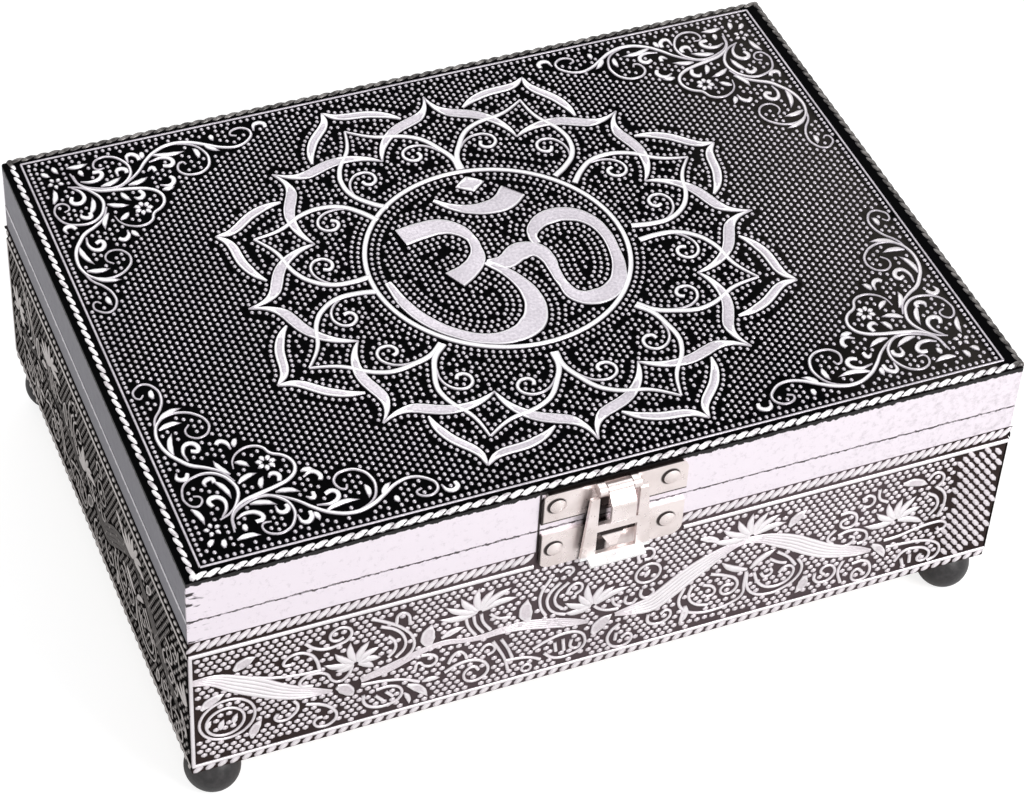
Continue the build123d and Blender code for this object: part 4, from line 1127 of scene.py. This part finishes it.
def build_side(name, node, carry, half, sheet_half, shift, materials, free=None):
    """One side of the body: sheet with a plain upper band, ropes, lines, vine panel and dots.

    The end panels show the part of the pattern that fits on them, moved by shift, with their vine kept
    low and their ridges leaning the other way. Free is the place kept clear for the latch plate.
    """
    body_height = rim_z - body_z
    rope_top = body_height - plain_band_height
    rope_bottom = rope_top - upper_rope_height
    sheet = bmesh.new()
    bmesh.ops.create_cube(sheet, size=1.0)
    low = -sheet_thickness
    size = Matrix.Diagonal((2 * sheet_half, body_height - low, sheet_thickness, 1.0))
    place = Matrix.Translation((0, (body_height + low) / 2, -sheet_thickness / 2))
    bmesh.ops.transform(sheet, matrix=place @ size, verts=sheet.verts)
    geometry = sheet.verts[:] + sheet.edges[:] + sheet.faces[:]
    bmesh.ops.bisect_plane(sheet, geom=geometry, plane_co=(0, rope_top, 0), plane_no=(0, 1, 0))
    for face in sheet.faces:
        face.material_index = 1 if face.calc_center_median().y > rope_top else 0
    band = materials["plain" if name in ("front", "back") else "plain_end"]
    piece = finish(sheet, name + "_cover", materials[name], "box", carry, materials=(band,))
    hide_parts(node)

    figures = bmesh.new()
    edge = half - 0.4
    upper_line = rope_bottom - upper_line_drop
    for level, width in ((upper_line, upper_line_width), (lower_line, lower_line_width)):
        steps = [(-edge + 2 * edge * k / 120, level) for k in range(121)]
        emboss(figures, [(steps, (width, width))], rounds=1, steps=1)
    steps = [(0.3 - edge, lower_line + (upper_line - lower_line) * k / 20) for k in range(21)]
    emboss(figures, [(steps, (lower_line_width, lower_line_width))], rounds=1, steps=1)
    reach = half - 0.8
    long_side = name in ("front", "back")
    emboss(figures, within(vine(), reach, shift), relief if long_side else end_vine_height, steps=4)
    emboss(figures, within(panel_strokes(), reach, shift), rounds=2, steps=4)
    emboss(figures, within(panel_buds(), reach, shift), rounds=4, steps=4, dip=0.1)
    for centre, radius in vine_rings:
        if abs(centre[0] + shift) + radius < reach:
            emboss(figures, [ring((centre[0] + shift, centre[1]), radius, 0.75)], closed=True)
    inside = ((-edge + 1.6, edge - 0.7), (lower_line + 1.2, upper_line - 1.1))
    dots = Punching(figures, inside, side_dot_clearance)
    dots.fill(side_dot_pitch, side_dot_gap, right=half - ridged_end)
    places = dots.places[:]
    way = 1 if long_side else -1
    dots.fill(ridge_pitch, ridge_gap, left=half - ridged_end + 0.4, lean=way * ridge_lean)
    ridges = dots.places[len(places):]
    if free:
        places = [(u, v) for u, v in places if not (free[0] < u < free[1] and v > free[2])]
        clear_of_plate(figures, free)
    smooth(figures)
    finish(figures, name + "_figures", materials[name], "box", carry)

    marks = bmesh.new()
    stamp(marks, stamp_template(*side_dot, dot_rise, segments=6), places)
    stamp(marks, stamp_template(*ridge_dot, dot_rise, turn=ridge_turn * way, segments=6), ridges)
    middle = (rope_top + rope_bottom) / 2
    upper = [(u, middle) for u in even_row(edge - 1.0, upper_rope_pitch)]
    if free:
        upper = [(u, v) for u, v in upper if not free[0] - 0.6 < u < free[1] + 0.6]
    stamp(marks, stamp_template(*upper_rope_bead, relief, turn=upper_rope_turn, rings=6), upper)
    lower = [(u, lower_rope_level) for u in even_row(edge - 1.2, lower_rope_pitch)]
    stamp(marks, stamp_template(*lower_rope_bead, relief, turn=lower_rope_turn, rings=6), lower)
    smooth(marks)
    finish(marks, name + "_punch_marks", materials[name], "box", carry)


def even_row(reach, pitch):
    """Even places from -reach to reach, as near to the pitch as they come out."""
    count = int(2 * reach / pitch) + 1
    return [-reach + 2 * reach * k / (count - 1) for k in range(count)]


def clear_of_plate(figures, free):
    """Removes the figures under the latch plate: free is its low u, its high u and its foot."""
    doomed = [vertex for vertex in figures.verts if free[0] < vertex.co.x < free[1] and vertex.co.y > free[2]]
    bmesh.ops.delete(figures, geom=doomed, context="VERTS")


def dress_frame(materials):
    """Gives each CAD node the finish of its slot, or its own: painted shade on the lid's end bands and the
    latch plates, a painted highlight on the hasp and grain turned across on the end boards.
    """
    by_slot = {"wood": "wood", "velvet": "velvet", "black_wood": "paint", "nickel": "nickel", "steel": "steel",
               "embossed_sheet": "lid_side"}
    by_node = {"lid_left_band": "lid_end", "lid_right_band": "lid_end", "latch_upper_plate": "latch_plate",
               "latch_lower_plate": "latch_plate", "hasp": "hasp", "left_wall": "end_wood",
               "right_wall": "end_wood", "lid_left_rail": "end_wood", "lid_right_rail": "end_wood"}
    slots = {part["node"]: part["material_slot"] for part in frame["record"]["subparts"]}
    for name, thing in frame["nodes"].items():
        thing.data.materials.clear()
        thing.data.materials.append(materials[by_node.get(name, by_slot[slots[name]])])


# Floor, light and backdrop

floor_glow = 0.82


def set_light():
    """Pale floor, soft lamps and a white backdrop that also shows in the metal."""
    floor_shape = bmesh.new()
    bmesh.ops.create_grid(floor_shape, x_segments=1, y_segments=1, size=3.0)
    mesh = bpy.data.meshes.new("floor")
    floor_shape.to_mesh(mesh)
    floor_shape.free()
    material, tree, shader, place = new_material("pale_paper_floor")
    specks = noise(tree, place, 40.0)
    paper = mix_colour(tree, specks, "#f2f2f2", "#eeeeee")
    seen = add(tree, "LightPath").outputs["Is Camera Ray"]
    tree.links.new(mix_colour(tree, seen, paper, "#a4a4a4"), shader.inputs["Base Color"])
    tree.links.new(span(tree, seen, 0.0, 1.0, 0.0, floor_glow), shader.inputs["Emission Strength"])
    shader.inputs["Emission Color"].default_value = linear("#ffffff")
    shader.inputs["Roughness"].default_value = 0.8
    shader.inputs["Specular IOR Level"].default_value = 0.2
    mesh.materials.append(material)
    floor = bpy.data.objects.new("floor", mesh)
    bpy.context.scene.collection.objects.link(floor)

    lamps = [
        ("key_lamp", (0.45, -0.8, 0.75), 0.5, 9.0),
        ("top_lamp", (0.1, 0.8, 1.1), 0.9, 4.0),
    ]
    for name, place, size, power in lamps:
        data = bpy.data.lights.new(name, "AREA")
        data.size = size
        data.energy = power
        lamp = bpy.data.objects.new(name, data)
        bpy.context.scene.collection.objects.link(lamp)
        lamp.location = place
        aim = Vector((0, 0, 0.03)) - Vector(place)
        lamp.rotation_euler = aim.to_track_quat("-Z", "Y").to_euler()

    world = bpy.data.worlds.new("studio")
    bpy.context.scene.world = world
    world.use_nodes = True
    tree = world.node_tree
    tree.nodes.clear()
    rays = add(tree, "LightPath").outputs
    direct, glossy = rays["Is Camera Ray"], rays["Is Glossy Ray"]
    seen = add(tree, "Math", {0: direct, 1: glossy}, operation="MAXIMUM").outputs[0]
    strength = span(tree, seen, 0.0, 1.0, 0.5, 1.0)
    sky = add(tree, "Background", {"Color": (1.0, 1.0, 1.0, 1.0), "Strength": strength})
    add(tree, "OutputWorld", {"Surface": sky.outputs["Background"]})


def make_materials():
    """Every finish by its short name."""
    front_level = half_depth - relief
    bright = ("#efe6ee", "#b9b0b7")
    # The end bands are darker than the front and back bands: painted shade
    shaded_band_colours = ("#86848c", "#716f76")
    # Black ragged line in the crease under the rope: painted shade
    shade_under_rope = (top_z - 2.4, top_z - 1.0, "#0f0c0d")
    lid_foot = band_low.z / MM
    front_lid = (shade_under_rope, (lid_foot - 0.6, lid_foot + 0.1, "#6f676b"))
    front_rim = ((rim_z - 0.12, rim_z + 0.5, "#6f676b"),)
    end_lid = (shade_under_rope, (lid_foot - 0.6, lid_foot + 0.35, "#2f2c30"))
    # Light line along the end bands' rim: a painted highlight
    end_rim_highlight = ((rim_z - 0.9, rim_z + 0.5, "#f1edf2"),)
    beside_plate = (plate_low.x / MM - 0.45, plate_low.x / MM + 0.2)
    black = (("#030304", "#2b2826"), ("#c9c3ca", "#b4aeb6"), ("#f6f4f7", "#e2dde0"))
    bronze = (("#332a29", "#52474a"), ("#efe7ec", "#e0d7dc"), ("#fdf8fb", "#fdf8fb"))
    # Darker end sheets, whose figures clear to the light colour only high up: painted shade
    shaded_end_colours = (("#080606", "#080606"), ("#8a8380", "#756e6b"), ("#e6dfdd", "#e6dfdd"))
    ends = embossed_metal("end_sheet_painted_shade", "X", half_width - relief, *shaded_end_colours, rise=(0.4, 0.8))
    return {
        # On the lid's right the recesses are lighter and the highlights greyer: painted glare
        "top": embossed_metal("blackened_lid_sheet", "Z", ground_top, *black, wear_and_glare_span=(45, 80, 82.5, 84)),
        "front": embossed_metal("antiqued_front_sheet", "Y", front_level - middle_y, *bronze),
        "back": embossed_metal("antiqued_back_sheet", "Y", front_level + middle_y, *bronze),
        "left": ends,
        "right": ends,
        "rope": rope_metal(),
        "patina": groove_patina(),
        "lid_side": plain_metal("plain_lid_band", *bright, front_lid, flecks=5.0, shadow=beside_plate),
        "plain": plain_metal("plain_body_band", *bright, front_rim, flecks=5.0, shadow=beside_plate),
        "lid_end": plain_metal("lid_end_band_painted_shade", *shaded_band_colours, end_lid),
        "plain_end": plain_metal("body_end_band_painted_shade", *shaded_band_colours, end_rim_highlight),
        "nickel": nickel_plate("nickel_plate"),
        "hasp": nickel_plate("nickel_hasp_painted_highlight", bright_below=hasp_highlight_below),
        "latch_plate": nickel_plate("nickel_plate_painted_shade", plate_painted_shade),
        "steel": bright_steel(),
        "paint": black_paint(),
        "wood": sawn_wood("sawn_softwood", 0.0),
        "end_wood": sawn_wood("sawn_softwood_ends", math.pi / 2),
        "velvet": red_velvet(),
    }


def main():
    """Camera, finishes, ornament and light, and the world's colours shown as they are."""
    bpy.context.scene.view_settings.view_transform = "Standard"
    set_camera()
    materials = make_materials()
    dress_frame(materials)
    build_lid_top(materials)
    build_edge_rope(materials["rope"], materials["patina"])
    plate_place = (plate_low.x / MM - 0.3, plate_high.x / MM + 0.3, plate_low.z / MM - body_z - 0.4)
    long_sheet = (half_width, ground_half_width, 0.0, materials)
    end_sheet = (half_depth, ground_half_depth - 0.4, end_panel_shift, materials)
    build_side("front", "front_sheet", front_face, *long_sheet, plate_place)
    build_side("back", "back_sheet", back_face, *long_sheet)
    build_side("left", "left_sheet", left_face, *end_sheet)
    build_side("right", "right_sheet", right_face, *end_sheet)
    set_light()


main()
